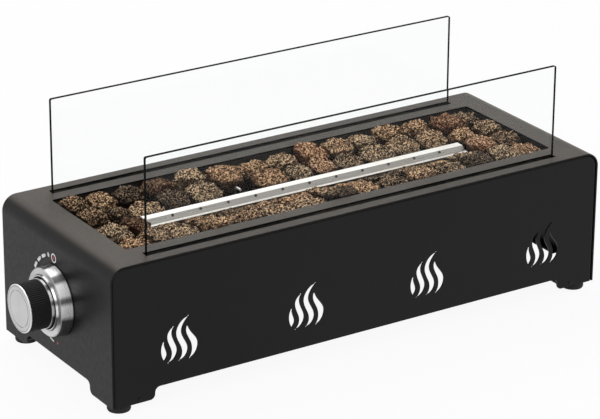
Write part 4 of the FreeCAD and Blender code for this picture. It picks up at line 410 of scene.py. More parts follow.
# Distance between two burner ports, and how far their middle is below the crest.
PORT_PITCH, PORT_DROP = 28.8 * MM, 1.1 * MM
# Way down the burner's slope for each 1 that it falls.
SLOPE_SLANT = 1.28
# What faces up more than this is the burner's crest, which stays free of soot.
CREST_FACING = 0.9
# Part of each end of the burner where what faces along it isn't the bore of a port.
PLAIN_END = 4 * MM
# Soot round a port is full within the first radius and gone at the second.
SOOT_FULL, SOOT_GONE = 1.1 * MM, 1.6 * MM


def burner_soot(steel, facing, low, high):
    """Where the burner is sooty: inside, in the bores of its ports and round them."""
    middle, half = (low.x + high.x) / 2, (high.x - low.x) / 2
    along = steel.maths("ABSOLUTE", steel.maths("SUBTRACT", steel.part(steel.coords, "X"), middle))
    inside = steel.spread(facing, 0.0, -0.2)
    bored = steel.spread(steel.maths("ABSOLUTE", steel.part(steel.normal, "X")), 0.15, 0.35)
    bored = steel.maths("MULTIPLY", bored, steel.maths("LESS_THAN", along, half - PLAIN_END))
    beside = steel.maths("PINGPONG", along, PORT_PITCH / 2)
    above = steel.maths("SUBTRACT", steel.part(steel.coords, "Z"), high.z - PORT_DROP)
    above = steel.maths("MULTIPLY", above, SLOPE_SLANT)
    squares = [steel.maths("MULTIPLY", way, way) for way in (beside, above)]
    stain = steel.spread(steel.maths("SQRT", steel.maths("ADD", *squares)), SOOT_GONE, SOOT_FULL)
    stain = steel.maths("MULTIPLY", stain, steel.maths("LESS_THAN", facing, CREST_FACING))
    return steel.maths("MAXIMUM", inside, bored, stain)


def stainless_steel(name, colours, burner=None):
    """Rolled sheet with its grain along X, a straw tint and painted shade on faces that lean, and
    with soot if it's the burner.
    """
    steel = Finish(name, colours.stainless, Metallic=1.0, Roughness=0.3, Anisotropic=0.4)
    grain = steel.noise(1, 4, 0.65, steel.stretched((16, 1400, 1400)))
    heat = steel.maths("MULTIPLY", steel.spread(steel.noise(22, 3), 0.5, 0.8), 0.3)
    sheet = steel.blend(heat, colours.stainless, colours.heat_tint)
    facing = steel.part(steel.normal, "Z")
    # Painted shade: faces that don't look up or down are mixed towards the darker shaded steel
    # colour.
    slope_shade_share = steel.spread(steel.maths("ABSOLUTE", facing), 0.8, 0.97, 0.72, 0.0)
    sheet = steel.blend(slope_shade_share, sheet, colours.steel_shade)
    if burner:
        soot = steel.maths("MULTIPLY", burner_soot(steel, facing, *burner), 0.97)
        sheet = steel.blend(soot, sheet, colours.soot)
    steel.colour(sheet)
    steel.roughness(grain, 0.24, 0.42)
    steel.bump(grain, 0.012 * MM, 0.5)
    return steel.material


def from_axis(finish):
    """Way from the knob's axis, towards the front and up."""
    return finish.stretched((0, -1, 1), KNOB_AXIS)


def knob_reach(finish):
    """Distance from the knob's axis."""
    reach = finish.add("ShaderNodeVectorMath", operation="LENGTH")
    finish.link(from_axis(finish), reach.inputs[0])
    return reach.outputs["Value"]


def knob_turn(finish):
    """Share of a turn about the knob's axis, from the bottom over the rear and the top."""
    across = from_axis(finish)
    angle = finish.maths("ARCTAN2", finish.part(across, "Y"), finish.part(across, "Z"))
    return finish.maths("ADD", finish.maths("DIVIDE", angle, math.tau), 0.5)


def brushed_round(finish):
    """Let the grain of a metal run round the knob's axis."""
    tangent = finish.add("ShaderNodeTangent", direction_type="RADIAL", axis="X")
    finish.link(tangent.outputs[0], finish.shader.inputs["Tangent"])


# Share of a turn, as knob_turn gives it, and how bright the plating is painted there: painted
# reflections, in bright and dark bands round the bezel.
PAINTED_WALL_REFLECTIONS = [
    (0.0, 0.5), (0.12, 0.15), (0.25, 0.5), (0.36, 0.2), (0.41, 0.05), (0.455, 0.06), (0.465, 0.3),
    (0.478, 0.06), (0.495, 0.12), (0.508, 0.95), (0.555, 1.0), (0.572, 0.16), (0.6, 0.13),
    (0.617, 0.95), (0.67, 0.9), (0.686, 0.16), (0.7, 0.15), (0.717, 0.9), (0.762, 0.8),
    (0.785, 0.06), (0.9, 0.04), (1.0, 0.5),
]
PAINTED_FACE_REFLECTIONS = [
    (0.0, 0.85), (0.25, 0.4), (0.42, 0.7), (0.52, 0.7), (0.6, 0.46), (0.7, 0.24), (0.79, 0.26),
    (0.88, 0.8), (1.0, 0.85),
]


def bright_chrome(tint):
    """Brushed plating, with soft bright and dark bands round it painted in as painted reflections.
    """
    chrome = Finish("bright_chrome", tint, Metallic=0.5, Roughness=0.28, Anisotropic=0.6)
    chrome.soften(0.3 * MM)
    brushed_round(chrome)
    turn = knob_turn(chrome)
    # Painted reflections: the colour goes lighter and darker round the knob's axis.
    walls, faces = (chrome.ramp(turn, tint, bands) for bands in (PAINTED_WALL_REFLECTIONS, PAINTED_FACE_REFLECTIONS))
    facing = chrome.spread(chrome.maths("ABSOLUTE", chrome.part(chrome.normal, "X")), 0.5, 0.85)
    chrome.colour(chrome.blend(facing, walls, faces))
    grain = chrome.noise(1, 3, 0.6, chrome.stretched((3200, 120, 120)))
    chrome.roughness(grain, 0.22, 0.36)
    chrome.bump(grain, 0.006 * MM, 0.5)
    return chrome.material


# The knob's cap: radii where the painted highlight on its polished rim starts and is full, then the
# radius of the groove inside it, and how far from that radius the groove's painted shade is dark and
# is gone.
RIM_START, RIM_FULL = 20.9 * MM, 21.5 * MM
GROOVE_RADIUS, GROOVE_DARK, GROOVE_GONE = 20.3 * MM, 0.2 * MM, 0.45 * MM


def spun_metal(tint):
    """Metal turned about the knob's axis, with fine rings, painted shade in a groove and a painted
    highlight on the polished rim.
    """
    cap = Finish("spun_cap", tint, Metallic=1.0, Roughness=0.36, Anisotropic=0.55)
    brushed_round(cap)
    reach = knob_reach(cap)
    node = cap.add("ShaderNodeTexNoise", noise_dimensions="1D")
    cap.link(reach, node.inputs["W"])
    node.inputs["Scale"].default_value = 4200
    node.inputs["Detail"].default_value = 2
    rings = node.outputs["Fac"]
    # Painted shade: a dark line along the groove.
    from_groove = cap.maths("ABSOLUTE", cap.maths("SUBTRACT", reach, GROOVE_RADIUS))
    groove_shade = cap.maths("MULTIPLY", cap.spread(from_groove, GROOVE_GONE, GROOVE_DARK), 0.6)
    shade = cap.blend(groove_shade, cap.mottled(tint, rings, 0.3, 0.7, 0.86, 1.1), scaled(tint, 0.12))
    # Painted highlight: the rim is painted lighter than the rest of the cap.
    cap.colour(cap.blend(cap.spread(reach, RIM_START, RIM_FULL), shade, scaled(tint, 1.4)))
    cap.roughness(rings, 0.28, 0.46)
    cap.bump(rings, 0.02 * MM, 0.6)
    cap.bump(cap.noise(1400, 2), 0.01 * MM, 0.5)
    return cap.material


def grip_plastic(tint):
    """Fine-grained black moulding."""
    grip = Finish("grip_moulding", tint, Roughness=0.5, Specular_IOR_Level=0.2)
    grip.roughness(grip.noise(500, 3), 0.42, 0.6)
    grip.bump(grip.noise(2400, 2), 0.02 * MM, 0.6)
    return grip.material


def turned_steel(tint):
    """Turned steel, slightly oiled."""
    steel = Finish("turned_steel", scaled(tint, 1.1), Metallic=1.0, Roughness=0.26)
    steel.roughness(steel.noise(1, 2, 0.5, steel.stretched((2600, 40, 40))), 0.2, 0.36)
    steel.bump(steel.noise(1, 2, 0.5, steel.stretched((2600, 30, 30))), 0.01 * MM, 0.5)
    return steel.material


def turned_brass(tint):
    """Turned brass with dull patches where it was handled."""
    brass = Finish("turned_brass", tint, Metallic=1.0, Roughness=0.28)
    brass.soften(0.2 * MM)
    dull = brass.noise(60, 4, 0.6)
    brass.colour(brass.mottled(tint, dull, 0.4, 0.7, second=0.68))
    brass.roughness(dull, 0.22, 0.46)
    brass.bump(brass.noise(1800, 2), 0.01 * MM, 0.6)
    return brass.material


def drawn_aluminium(tint):
    """Drawn tube with its grain along the pipe."""
    tube = Finish("drawn_aluminium", tint, Metallic=1.0, Roughness=0.34)
    grain = tube.noise(1, 3, 0.6, tube.stretched((1500, 20, 1500)))
    tube.roughness(grain, 0.28, 0.46)
    tube.bump(grain, 0.01 * MM, 0.5)
    return tube.material


def fired_ceramic(tint):
    """Unglazed ceramic with small specks."""
    ceramic = Finish("fired_ceramic", tint, Roughness=0.5)
    specks = ceramic.spread(ceramic.noise(900, 2, 0.7), 0.66, 0.74)
    ceramic.colour(ceramic.blend(ceramic.maths("MULTIPLY", specks, 0.5), tint, scaled(tint, 0.45)))
    ceramic.roughness(ceramic.noise(200, 3), 0.42, 0.6)
    ceramic.bump(ceramic.noise(1400, 2), 0.02 * MM, 0.5)
    return ceramic.material


def lead_silicone(tint):
    """Red silicone with a soft bloom."""
    sleeve = Finish("lead_silicone", tint, Roughness=0.55)
    bloom = sleeve.noise(150, 3)
    sleeve.colour(sleeve.mottled(tint, bloom, 0.4, 0.75, second=1.5))
    sleeve.roughness(bloom, 0.48, 0.68)
    sleeve.bump(sleeve.noise(2000, 2), 0.015 * MM, 0.5)
    return sleeve.material


def lava_rock(colours):
    """Porous rock: near-black to brown and a few red stones, tan or grey specks kept to the lit tops
    as a painted highlight, and painted shade in its pores, pits and crevices.
    """
    rock = Finish("lava_rock", colours.rock_brown, Roughness=0.95, Specular_IOR_Level=0.1)
    tone, warm, red, pit, sunk = map(rock.attribute, ("tone", "warm", "red", "pit", "sunk"))
    clouds = rock.maths("MULTIPLY", rock.noise(75, 5, 0.65), 0.5)
    light = rock.maths("ADD", rock.maths("MULTIPLY", tone, 0.7), clouds)
    clouds = rock.maths("MULTIPLY", rock.noise(45, 4, 0.6), 0.6)
    hue = rock.spread(rock.maths("ADD", rock.maths("MULTIPLY", warm, 0.6), clouds), 0.15, 0.85)
    stone = rock.blend(hue, colours.rock_olive, colours.rock_brown)
    stone = rock.blend(rock.spread(light, 0.3, 0.9), colours.rock_dark, stone)
    stone = rock.blend(red, stone, colours.rock_red)
    grains = rock.spread(rock.noise(620, 2, 0.7), 0.5, 0.55)
    raised = rock.spread(pit, 0.6, 0.12)
    # Specks, and a painted highlight: they stay on what faces up and stands out, so the lit tops of
    # the stones read lighter.
    upward = rock.spread(rock.part(rock.normal, "Z"), 0.0, 0.95)
    specks = rock.maths("MULTIPLY", grains, raised, upward, rock.spread(light, 0.2, 0.75, 0.2, 1.0))
    stone = rock.blend(specks, stone, rock.blend(hue, colours.rock_grey, colours.rock_tan))
    # Painted shade: dark in the pores, in deep pits and down the sides and outer edges of each
    # stone, where shade falls between stones.
    bubbles = rock.cells(430)
    pores = rock.spread(bubbles, 0.28, 0.48, 0.97, 0.0)
    low = rock.spread(sunk, 0.14, 0.5, 0.0, 0.96)
    shade = rock.maths("MAXIMUM", pores, rock.spread(pit, 0.3, 0.75), low)
    dark = scaled(colours.rock_dark, 0.3)
    rock.colour(rock.blend(rock.maths("MULTIPLY", shade, 0.97), stone, dark))
    rock.bump(rock.noise(420, 5, 0.7), 1.0 * MM, 0.9)
    rock.bump(bubbles, 0.9 * MM, 0.9)
    return rock.material


def dial_ink(name, tint):
    """Screen-printed ink, a little worn."""
    ink = Finish(name, tint, Roughness=0.5)
    worn = ink.noise(1500, 3, 0.6)
    ink.colour(ink.mottled(tint, worn, 0.55, 0.75, second=0.6))
    ink.roughness(worn, 0.42, 0.62)
    ink.bump(worn, 0.01 * MM, 0.5)
    return ink.material


# ---- handling of objects ----

def dress(names, material):
    """Give CAD nodes a finish."""
    for name in names:
        data = NODES[name].data
        data.materials.clear()
        data.materials.append(material)


def select_only(*things):
    """Select these objects and make the first one active."""
    if bpy.context.mode != "OBJECT":
        bpy.ops.object.mode_set(mode="OBJECT")
    bpy.ops.object.select_all(action="DESELECT")
    for thing in things:
        thing.select_set(True)
    bpy.context.view_layer.objects.active = things[0]


def apply_modifier(thing, kind, **settings):
    """Add a modifier, set it and apply it."""
    select_only(thing)
    bpy.ops.object.modifier_add(type=kind)
    modifier = thing.modifiers[-1]
    for option, value in settings.items():
        setattr(modifier, option, value)
    bpy.ops.object.modifier_apply(modifier=modifier.name)


def edit_all(operator, **settings):
    """Run a mesh operator on the whole of the active mesh."""
    bpy.ops.object.mode_set(mode="EDIT")
    bpy.ops.mesh.select_all(action="SELECT")
    operator(**settings)
    bpy.ops.object.mode_set(mode="OBJECT")


def copy_of_node(name, label):
    """A piece that starts as a CAD node's surface, with its corners merged."""
    piece = bpy.data.objects.new(label, NODES[name].data.copy())
    bpy.context.scene.collection.objects.link(piece)
    select_only(piece)
    edit_all(bpy.ops.mesh.remove_doubles, threshold=1e-6)
    return piece


def seat(piece, body, material):
    """Apply a piece's place to its mesh and let it ride on a body."""
    select_only(piece)
    bpy.ops.object.transform_apply(location=True, rotation=True, scale=True)
    piece.data.materials.clear()
    piece.data.materials.append(material)
    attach(piece, body)


def joined(pieces, label):
    """Several objects as one."""
    select_only(*pieces)
    bpy.ops.object.join()
    whole = bpy.context.object
    whole.name = whole.data.name = label
    return whole


def corners_of(piece):
    """All points of a mesh."""
    return [Vector(vertex.co) for vertex in piece.data.vertices]


def note(piece, name, values):
    """Store a value for each point of a mesh, which its finish can read."""
    layer = piece.data.attributes.new(name, "FLOAT", "POINT")
    layer.data.foreach_set("value", values)


def extent(piece):
    """Lowest and highest corner of a mesh."""
    ways = list(zip(*corners_of(piece)))
    return Vector([min(way) for way in ways]), Vector([max(way) for way in ways])


# ---- operators ----

class FIREPIT_OT_coat_casing(bpy.types.Operator):
    """Coat the wrap and the panels"""

    bl_idname = "firepit.coat_casing"
    bl_label = "Coat the casing"

    def execute(self, context):
        colours = context.scene.fire_pit_colours
        casing = ["wrap_shell", "front_panel", "rear_panel", "leg_rivets"]
        dress(casing, powder_coat(colours.coat, colours.dust))
        return {"FINISHED"}


class FIREPIT_OT_plate_steel(bpy.types.Operator):
    """Plate the corner plates, the brackets and the fasteners"""

    bl_idname = "firepit.plate_steel"
    bl_label = "Plate brackets and fasteners"

    def execute(self, context):
        colours = context.scene.fire_pit_colours
        corners = [name for name in NODES if name.startswith("corner_bracket")]
        dress(corners, zinc_plating("black_zinc", colours.black_zinc))
        brackets = [
            "inlet_bracket", "valve_cover", "electrode_bracket", "lead_clips", "venturi_collar",
        ]
        dress(brackets, zinc_plating("zinc_plating", colours.zinc))
        fasteners = [
            "foot_screws", "foot_nuts", "tray_studs", "tray_nuts", "burner_studs", "burner_nuts",
            "valve_screws", "electrode_screw",
        ]
        dress(fasteners, fastener_plating(colours.zinc))
        return {"FINISHED"}


class FIREPIT_OT_mould_rubber(bpy.types.Operator):
    """Finish the feet and the rubber profiles of the glass"""

    bl_idname = "firepit.mould_rubber"
    bl_label = "Finish the rubber"

    def execute(self, context):
        colours = context.scene.fire_pit_colours
        feet = [name for name in NODES if name.startswith("rubber_foot")]
        dress(feet, black_rubber("foot_rubber", colours.rubber))
        dress(["front_glass_seal", "rear_glass_seal"], black_rubber("seal_rubber", colours.rubber))
        return {"FINISHED"}


class FIREPIT_OT_glaze(bpy.types.Operator):
    """Finish the two wind guards and their channels"""

    bl_idname = "firepit.glaze"
    bl_label = "Glaze the wind guards"

    # Faces that look more than this along Y are the sides of a pane. The others are its edge.
    SIDE_FACING = 0.9

    def execute(self, context):
        colours = context.scene.fire_pit_colours
        clear = clear_glass(colours.glass)
        ground = ground_edge(colours.glass_edge, colours.glass_edge_mark)
        for side in ("front", "rear"):
            pane = copy_of_node(f"{side}_glass", f"{side}_wind_guard_pane")
            seat(pane, f"{side}_wind_guard", clear)
            pane.data.materials.append(ground)
            for face in pane.data.polygons:
                face.material_index = 0 if abs(face.normal.y) > self.SIDE_FACING else 1
            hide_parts(f"{side}_glass")
        channels = ["front_glass_channel", "rear_glass_channel"]
        dress(channels, tray_coat(colours.tray, colours.tray_burnt))
        return {"FINISHED"}


class FIREPIT_OT_finish_burner(bpy.types.Operator):
    """Finish the tray, the burner, its stands and the mixing tube"""

    bl_idname = "firepit.finish_burner"
    bl_label = "Finish the burner"

    def execute(self, context):
        colours = context.scene.fire_pit_colours
        dress(["burner_tray"], tray_coat(colours.tray, colours.tray_burnt))
        top = stainless_steel("burner_top_steel", colours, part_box("burner_upper_half"))
        dress(["burner_upper_half"], top)
        plain = [
            "burner_lower_half", "burner_stand_left", "burner_stand_right", "venturi_tube",
            "electrode_rod",
        ]
        dress(plain, stainless_steel("stainless_steel", colours))
        return {"FINISHED"}


class FIREPIT_OT_pile_rocks(bpy.types.Operator):
    """Turn the four plain beds into porous lava rock"""

    bl_idname = "firepit.pile_rocks"
    bl_label = "Pile the lava rock"

    # A stone whose foot is this close to the tray floor lies under others.
    UNDER_HEIGHT = 5 * MM
    # Stones that stand out in tone: a point in plan in millimetres, then tone and redness. This
    # holds for each stone whose middle is within the reach of the point, along X and along Y.
    STANDOUTS = [
        ((207, 0), 0.6, 0.8), ((45, -54), 1.0, 0.0), ((-20, -40), 0.9, 0.2), ((205, 38), 0.3, 0.5),
    ]
    STANDOUT_REACH = 15 * MM
    # Share of the stones that are reddish, and how red the reddest of them can be.
    RED_SHARE, REDDEST = 0.2, 0.7
    # Share of the way out to its edge at which a stone starts to count as sunk, and so to get
    # painted shade.
    EDGE_START = 0.7
    # Pattern levels at which lumps and bubbles leave the surface where it is.
    LUMP_LEVEL, BUBBLE_LEVEL = 0.74, 0.9
    # How strongly a bubble differs from what is round it.
    BUBBLE_CONTRAST = 1.6
    # Start of the random draws.
    SEED = 7

    def execute(self, context):
        sizes = context.scene.fire_pit_sizes
        lumps = bpy.data.textures.new("rock_lumps", "CLOUDS")
        lumps.noise_scale, lumps.noise_depth = sizes.rock_lump_size, 1
        scoops = self.bubbles("rock_scoops", sizes.rock_scoop_size)
        pores = self.bubbles("rock_pores", sizes.rock_pore_size)
        relief = [
            (lumps, sizes.rock_lump, self.LUMP_LEVEL),
            (scoops, sizes.rock_scoop, self.BUBBLE_LEVEL),
            (pores, sizes.rock_pore, self.BUBBLE_LEVEL),
        ]
        finish = lava_rock(context.scene.fire_pit_colours)
        chance = random.Random(self.SEED)
        for node, label in ROCK_BEDS.items():
            stones = self.split(node, label)
            for stone in stones:
                self.roughen(stone, sizes, chance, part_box(node)[0].z)
            bed = joined(stones, label)
            self.weather(bed, relief)
            self.keep_inside(bed, node)
            seat(bed, "casing", finish)
            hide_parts(node)
        return {"FINISHED"}

    def bubbles(self, name, size):
        """A pattern of burst bubbles, lowest in the middle of each and sharp between them."""
        pattern = bpy.data.textures.new(name, "VORONOI")
        pattern.noise_scale, pattern.noise_intensity = size, self.BUBBLE_CONTRAST
        return pattern

    def split(self, node, label):
        """The stones of one bed as separate objects."""
        copy_of_node(node, label)
        edit_all(bpy.ops.mesh.separate, type="LOOSE")
        return sorted(bpy.context.selected_objects, key=lambda stone: tuple(corners_of(stone)[0]))

    def roughen(self, stone, sizes, chance, floor):
        """Mesh one stone evenly, round its corners and note its tone and how sunk each point is,
        which its finish turns into painted shade.
        """
        low, high = extent(stone)
        under = low.z < floor + self.UNDER_HEIGHT
        mesh, rounds = (sizes.low_rock_mesh, 2) if under else (sizes.rock_mesh, 3)
        apply_modifier(stone, "REMESH", mode="VOXEL", voxel_size=mesh)
        apply_modifier(stone, "SMOOTH", factor=0.5, iterations=rounds)
        tone = chance.random()
        red = self.REDDEST * max(0.0, chance.random() - (1 - self.RED_SHARE)) / self.RED_SHARE
        warm = chance.random()
        middle = (low + high) / 2
        for (x, y), its_tone, its_red in self.STANDOUTS:
            away = max(abs(middle.x - x * MM), abs(middle.y - y * MM))
            if away < self.STANDOUT_REACH and not under:
                tone, red = its_tone, its_red
        points = corners_of(stone)
        for name, value in (("tone", tone), ("red", red), ("warm", warm)):
            note(stone, name, [value] * len(points))
        sunk = [1.0 if under else self.how_sunk(point, low, high) for point in points]
        note(stone, "sunk", sunk)

    def how_sunk(self, point, low, high):
        """How far a point lies down a stone or out at its edge, from the stone's two corners."""
        middle, half = (low + high) / 2, (high - low) / 2
        down = (high.z - point.z) / (high.z - low.z)
        outward = math.hypot((point.x - middle.x) / half.x, (point.y - middle.y) / half.y)
        return max(down, outward - self.EDGE_START)

    def weather(self, bed, relief):
        """Raise lumps, sink bubbles and pores, and note how deep each point lies."""
        depth = [0.0] * len(bed.data.vertices)
        for texture, strength, level in relief:
            before = corners_of(bed)
            apply_modifier(bed, "DISPLACE", texture=texture, strength=strength, mid_level=level)
            if texture.type == "VORONOI":
                outward = [Vector(vertex.normal) for vertex in bed.data.vertices]
                depth = [
                    so_far + max(0.0, (old - new).dot(normal)) / (2 * strength)
                    for so_far, old, new, normal in zip(depth, before, corners_of(bed), outward)
                ]
        # The finish paints shade in the pits by this depth.
        note(bed, "pit", depth)
        bpy.ops.object.shade_smooth()

    def keep_inside(self, bed, node):
        """Keep the stones on the tray floor and inside the box of their solids."""
        low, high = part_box(node)
        for vertex in bed.data.vertices:
            for axis in range(3):
                vertex.co[axis] = min(max(vertex.co[axis], low[axis]), high[axis])


class FIREPIT_OT_finish_knob(bpy.types.Operator):
    """Finish the knob, its bezel and the stem"""

    bl_idname = "firepit.finish_knob"
    bl_label = "Finish the knob"

    def execute(self, context):
        colours = context.scene.fire_pit_colours
        dress(["knob_bezel", "knob_skirt_ring"], bright_chrome(colours.chrome))
        dress(["knob_grip"], grip_plastic(colours.grip))
        dress(["knob_cap"], spun_metal(colours.cap))
        dress(["valve_stem", "valve_spring"], turned_steel(colours.stainless))
        return {"FINISHED"}


class FIREPIT_OT_print_dial(bpy.types.Operator):
    """Print the dial marks on the end of the casing"""

    bl_idname = "firepit.print_dial"
    bl_label = "Print the dial"

    # Angle from the top towards the rear in degrees, then millimetres from the knob's axis, and the
    # mark's length along and across a radius.
    LEVELS = [(29.8, 39.9, 3.0, 6.2), (44.4, 40.1, 3.0, 6.2), (59.3, 40.6, 2.9, 6.4)]
    HIGH_MARKS = [(168, 42.4, 1.7, 7.0)]
    SPARK = [(17.2, 40.2, 0.7, 4.6, turn) for turn in (10, 70, 130)]
    # The ring at OFF and the red spots: angle and distance as above, then the radius and, for the
    # ring, that of its hole.
    OFF = (3.7, 38.4, 4.3, 3.2)
    RED_SPOTS = [(3.7, 38.4, 1.7), (180.8, 41.6, 1.3)]
    # Corner radius of a bar as a share of its shorter side.
    CORNER_SHARE = 0.3

    def execute(self, context):
        colours = context.scene.fire_pit_colours
        sizes = context.scene.fire_pit_sizes
        white = dial_ink("white_ink", colours.print_white)
        red = dial_ink("red_ink", colours.print_red)
        marks = [self.bar(sizes, *mark) for mark in self.LEVELS + self.HIGH_MARKS + self.SPARK]
        marks.append(self.disc(sizes, *self.OFF))
        seat(joined(marks, "dial_marks_white"), "casing", white)
        spots = [self.disc(sizes, *spot) for spot in self.RED_SPOTS]
        seat(joined(spots, "dial_marks_red"), "casing", red)
        return {"FINISHED"}

    def spot(self, degrees, radius, depth):
        """A point on the end of the casing, given by its angle from the top and its radius."""
        angle = math.radians(degrees)
        lift = Vector((-depth / 2, radius * math.sin(angle), radius * math.cos(angle)))
        return Vector((WRAP_LOW.x, KNOB_AXIS.y, KNOB_AXIS.z)) + lift

    def bar(self, sizes, degrees, reach, along, across, turn=0):
        """One printed bar with rounded corners, across a radius unless it is turned."""
        bpy.ops.mesh.primitive_cube_add(
            size=1, location=self.spot(degrees, reach * MM, sizes.print_depth),
            rotation=(-math.radians(degrees + turn), 0, 0),
            scale=(sizes.print_depth, across * MM, along * MM),
        )
        mark = bpy.context.object
        bpy.ops.object.transform_apply(location=False, rotation=False, scale=True)
        for edge in mark.data.edges:
            ends = [mark.data.vertices[at].co for at in edge.vertices]
            edge.select = abs(ends[0].x - ends[1].x) > sizes.print_depth / 2
        bpy.ops.object.mode_set(mode="EDIT")
        bpy.ops.mesh.select_mode(type="EDGE")
        bpy.ops.mesh.bevel(offset=min(along, across) * MM * self.CORNER_SHARE, segments=4)
        bpy.ops.object.mode_set(mode="OBJECT")
        return mark

    def disc(self, sizes, degrees, reach, radius, hole=0):
        """A printed spot, or a ring if it has a hole."""
        bpy.ops.mesh.primitive_circle_add(
            vertices=48, radius=radius * MM, fill_type="NGON",
            location=self.spot(degrees, reach * MM, 0), rotation=(0, -math.pi / 2, 0),
        )
        mark = bpy.context.object
        if hole:
            edit_all(bpy.ops.mesh.inset, thickness=(radius - hole) * MM)
            bpy.ops.object.mode_set(mode="EDIT")
            bpy.ops.mesh.delete(type="ONLY_FACE")
            bpy.ops.object.mode_set(mode="OBJECT")
        outward = (-sizes.print_depth, 0, 0)
        edit_all(bpy.ops.mesh.extrude_region_move, TRANSFORM_OT_translate={"value": outward})
        edit_all(bpy.ops.mesh.normals_make_consistent, inside=False)
        return mark


class FIREPIT_OT_finish_gas(bpy.types.Operator):
    """Finish the valve, the jet, the pipe and the gas inlet"""

    bl_idname = "firepit.finish_gas"
    bl_label = "Finish the gas parts"

    def execute(self, context):
        colours = context.scene.fire_pit_colours
        turned = [
            "valve_body", "valve_plug", "gas_jet", "inlet_fitting", "inlet_locknut", "pipe_nuts",
        ]
        dress(turned, turned_brass(colours.brass))
        dress(["supply_pipe"], drawn_aluminium(colours.aluminium))
        return {"FINISHED"}


class FIREPIT_OT_finish_ignition(bpy.types.Operator):
    """Finish the igniter, its lead and the ceramic of the electrode"""

    bl_idname = "firepit.finish_ignition"
    bl_label = "Finish the ignition"

    def execute(self, context):
        colours = context.scene.fire_pit_colours
        dress(["piezo_igniter"], grip_plastic(colours.igniter))
        dress(["ignition_lead"], lead_silicone(colours.lead))
        dress(["electrode_insulator"], fired_ceramic(colours.ceramic))
        return {"FINISHED"}


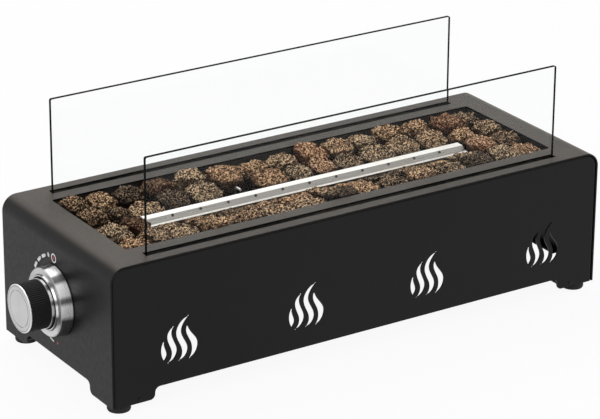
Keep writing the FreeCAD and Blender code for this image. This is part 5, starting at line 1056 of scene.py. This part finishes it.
class FIREPIT_OT_build_stage(bpy.types.Operator):
    """Lay the pale floor, light the studio and set the camera"""

    bl_idname = "firepit.build_stage"
    bl_label = "Build the studio"

    def execute(self, context):
        view = context.scene.fire_pit_view
        self.floor(view, context.scene.fire_pit_colours.floor)
        self.sky(view)
        self.lamp("key_light", view.key_place, view.light_aim, view.key_size, view.key_power)
        self.lamp("top_light", view.top_place, view.light_aim, view.top_size, view.top_power)
        self.camera(context, view)
        context.scene.view_settings.view_transform = "Standard"
        return {"FINISHED"}

    def seen(self, tree):
        """1 for what is seen straight, in a reflection or through glass, and 0 for the rest."""
        rays = tree.nodes.new("ShaderNodeLightPath").outputs
        seen = rays["Is Camera Ray"]
        for kind in ("Is Glossy Ray", "Is Transmission Ray"):
            larger = tree.nodes.new("ShaderNodeMath")
            larger.operation = "MAXIMUM"
            tree.links.new(seen, larger.inputs[0])
            tree.links.new(rays[kind], larger.inputs[1])
            seen = larger.outputs[0]
        return seen

    def mixed(self, tree, share, first, second):
        """Two shaders mixed by a share, which is a number or a pattern."""
        node = tree.nodes.new("ShaderNodeMixShader")
        if isinstance(share, float):
            node.inputs[0].default_value = share
        else:
            tree.links.new(share, node.inputs[0])
        tree.links.new(first, node.inputs[1])
        tree.links.new(second, node.inputs[2])
        return node.outputs[0]

    def floor(self, view, tint):
        """A wide pale floor that shows white but keeps a soft shadow."""
        bpy.ops.mesh.primitive_plane_add(size=view.floor_size, location=(0, 0, 0))
        floor = bpy.context.object
        floor.name = "studio_floor"
        pale = Finish("pale_floor", tint, Roughness=0.9)
        plain = pale.shader.outputs[0]
        glow = pale.add("ShaderNodeEmission").outputs[0]
        white = self.mixed(pale.tree, view.floor_glow, plain, glow)
        surface = self.mixed(pale.tree, self.seen(pale.tree), plain, white)
        pale.link(surface, pale.tree.nodes["Material Output"].inputs["Surface"])
        floor.data.materials.append(pale.material)

    def sky(self, view):
        """Even light from all round, seen as white."""
        world = bpy.data.worlds.new("studio_sky")
        bpy.context.scene.world = world
        world.use_nodes = True
        tree = world.node_tree
        light = tree.nodes["Background"]
        light.inputs["Color"].default_value = (1, 1, 1, 1)
        light.inputs["Strength"].default_value = view.sky_light
        white = tree.nodes.new("ShaderNodeBackground")
        white.inputs["Color"].default_value = (1, 1, 1, 1)
        surface = self.mixed(tree, self.seen(tree), light.outputs[0], white.outputs[0])
        tree.links.new(surface, tree.nodes["World Output"].inputs["Surface"])

    def lamp(self, name, place, aim, size, power):
        """A square soft light that looks from its place at a point."""
        bpy.ops.object.light_add(type="AREA", location=place)
        lamp = bpy.context.object
        lamp.name = name
        lamp.data.size = size
        lamp.data.energy = power
        way = Vector(aim) - Vector(place)
        lamp.rotation_euler = way.to_track_quat("-Z", "Y").to_euler()

    def camera(self, context, view):
        """The camera, from its target, angles and distance."""
        bpy.ops.object.camera_add()
        camera = bpy.context.object
        flat, rise = math.cos(view.elevation), math.sin(view.elevation)
        back = Vector((math.sin(view.azimuth) * flat, -math.cos(view.azimuth) * flat, rise))
        level = Vector((0, 0, 1)).cross(back).normalized()
        upright = back.cross(level)
        turn_cos, turn_sin = math.cos(view.roll), math.sin(view.roll)
        right = level * turn_cos + upright * turn_sin
        up = upright * turn_cos - level * turn_sin
        turn = Matrix((right, up, back)).transposed().to_4x4()
        camera.matrix_world = Matrix.Translation(Vector(view.target) + back * view.distance) @ turn
        camera.data.sensor_fit = "HORIZONTAL"
        camera.data.sensor_width = view.sensor
        camera.data.lens = view.lens
        camera.data.clip_start, camera.data.clip_end = view.nearest, view.farthest
        context.scene.camera = camera


OPERATORS = (
    FIREPIT_OT_coat_casing,
    FIREPIT_OT_plate_steel,
    FIREPIT_OT_mould_rubber,
    FIREPIT_OT_glaze,
    FIREPIT_OT_finish_burner,
    FIREPIT_OT_pile_rocks,
    FIREPIT_OT_finish_knob,
    FIREPIT_OT_print_dial,
    FIREPIT_OT_finish_gas,
    FIREPIT_OT_finish_ignition,
    FIREPIT_OT_build_stage,
)


class FIREPIT_PT_sidebar(bpy.types.Panel):
    """The operators and settings of the fire pit"""

    bl_idname = "FIREPIT_PT_sidebar"
    bl_label = "Fire Pit"
    bl_space_type = "VIEW_3D"
    bl_region_type = "UI"
    bl_category = "Fire Pit"

    def draw(self, context):
        scene = context.scene
        for operator in OPERATORS:
            self.layout.operator(operator.bl_idname)
        for settings in (scene.fire_pit_colours, scene.fire_pit_sizes, scene.fire_pit_view):
            box = self.layout.box()
            for name in settings.__annotations__:
                box.prop(settings, name)


CLASSES = (FirePitColours, FirePitSizes, FirePitView, *OPERATORS, FIREPIT_PT_sidebar)


def register():
    """Add the classes and their settings."""
    for each in CLASSES:
        bpy.utils.register_class(each)
    bpy.types.Scene.fire_pit_colours = PointerProperty(type=FirePitColours)
    bpy.types.Scene.fire_pit_sizes = PointerProperty(type=FirePitSizes)
    bpy.types.Scene.fire_pit_view = PointerProperty(type=FirePitView)


def unregister():
    """Take the classes and their settings away."""
    del bpy.types.Scene.fire_pit_view
    del bpy.types.Scene.fire_pit_sizes
    del bpy.types.Scene.fire_pit_colours
    for each in reversed(CLASSES):
        bpy.utils.unregister_class(each)


def main():
    """Register and run every operator in order."""
    register()
    for operator in OPERATORS:
        group, name = operator.bl_idname.split(".")
        getattr(getattr(bpy.ops, group), name)()


if __name__ == "__main__":
    main()
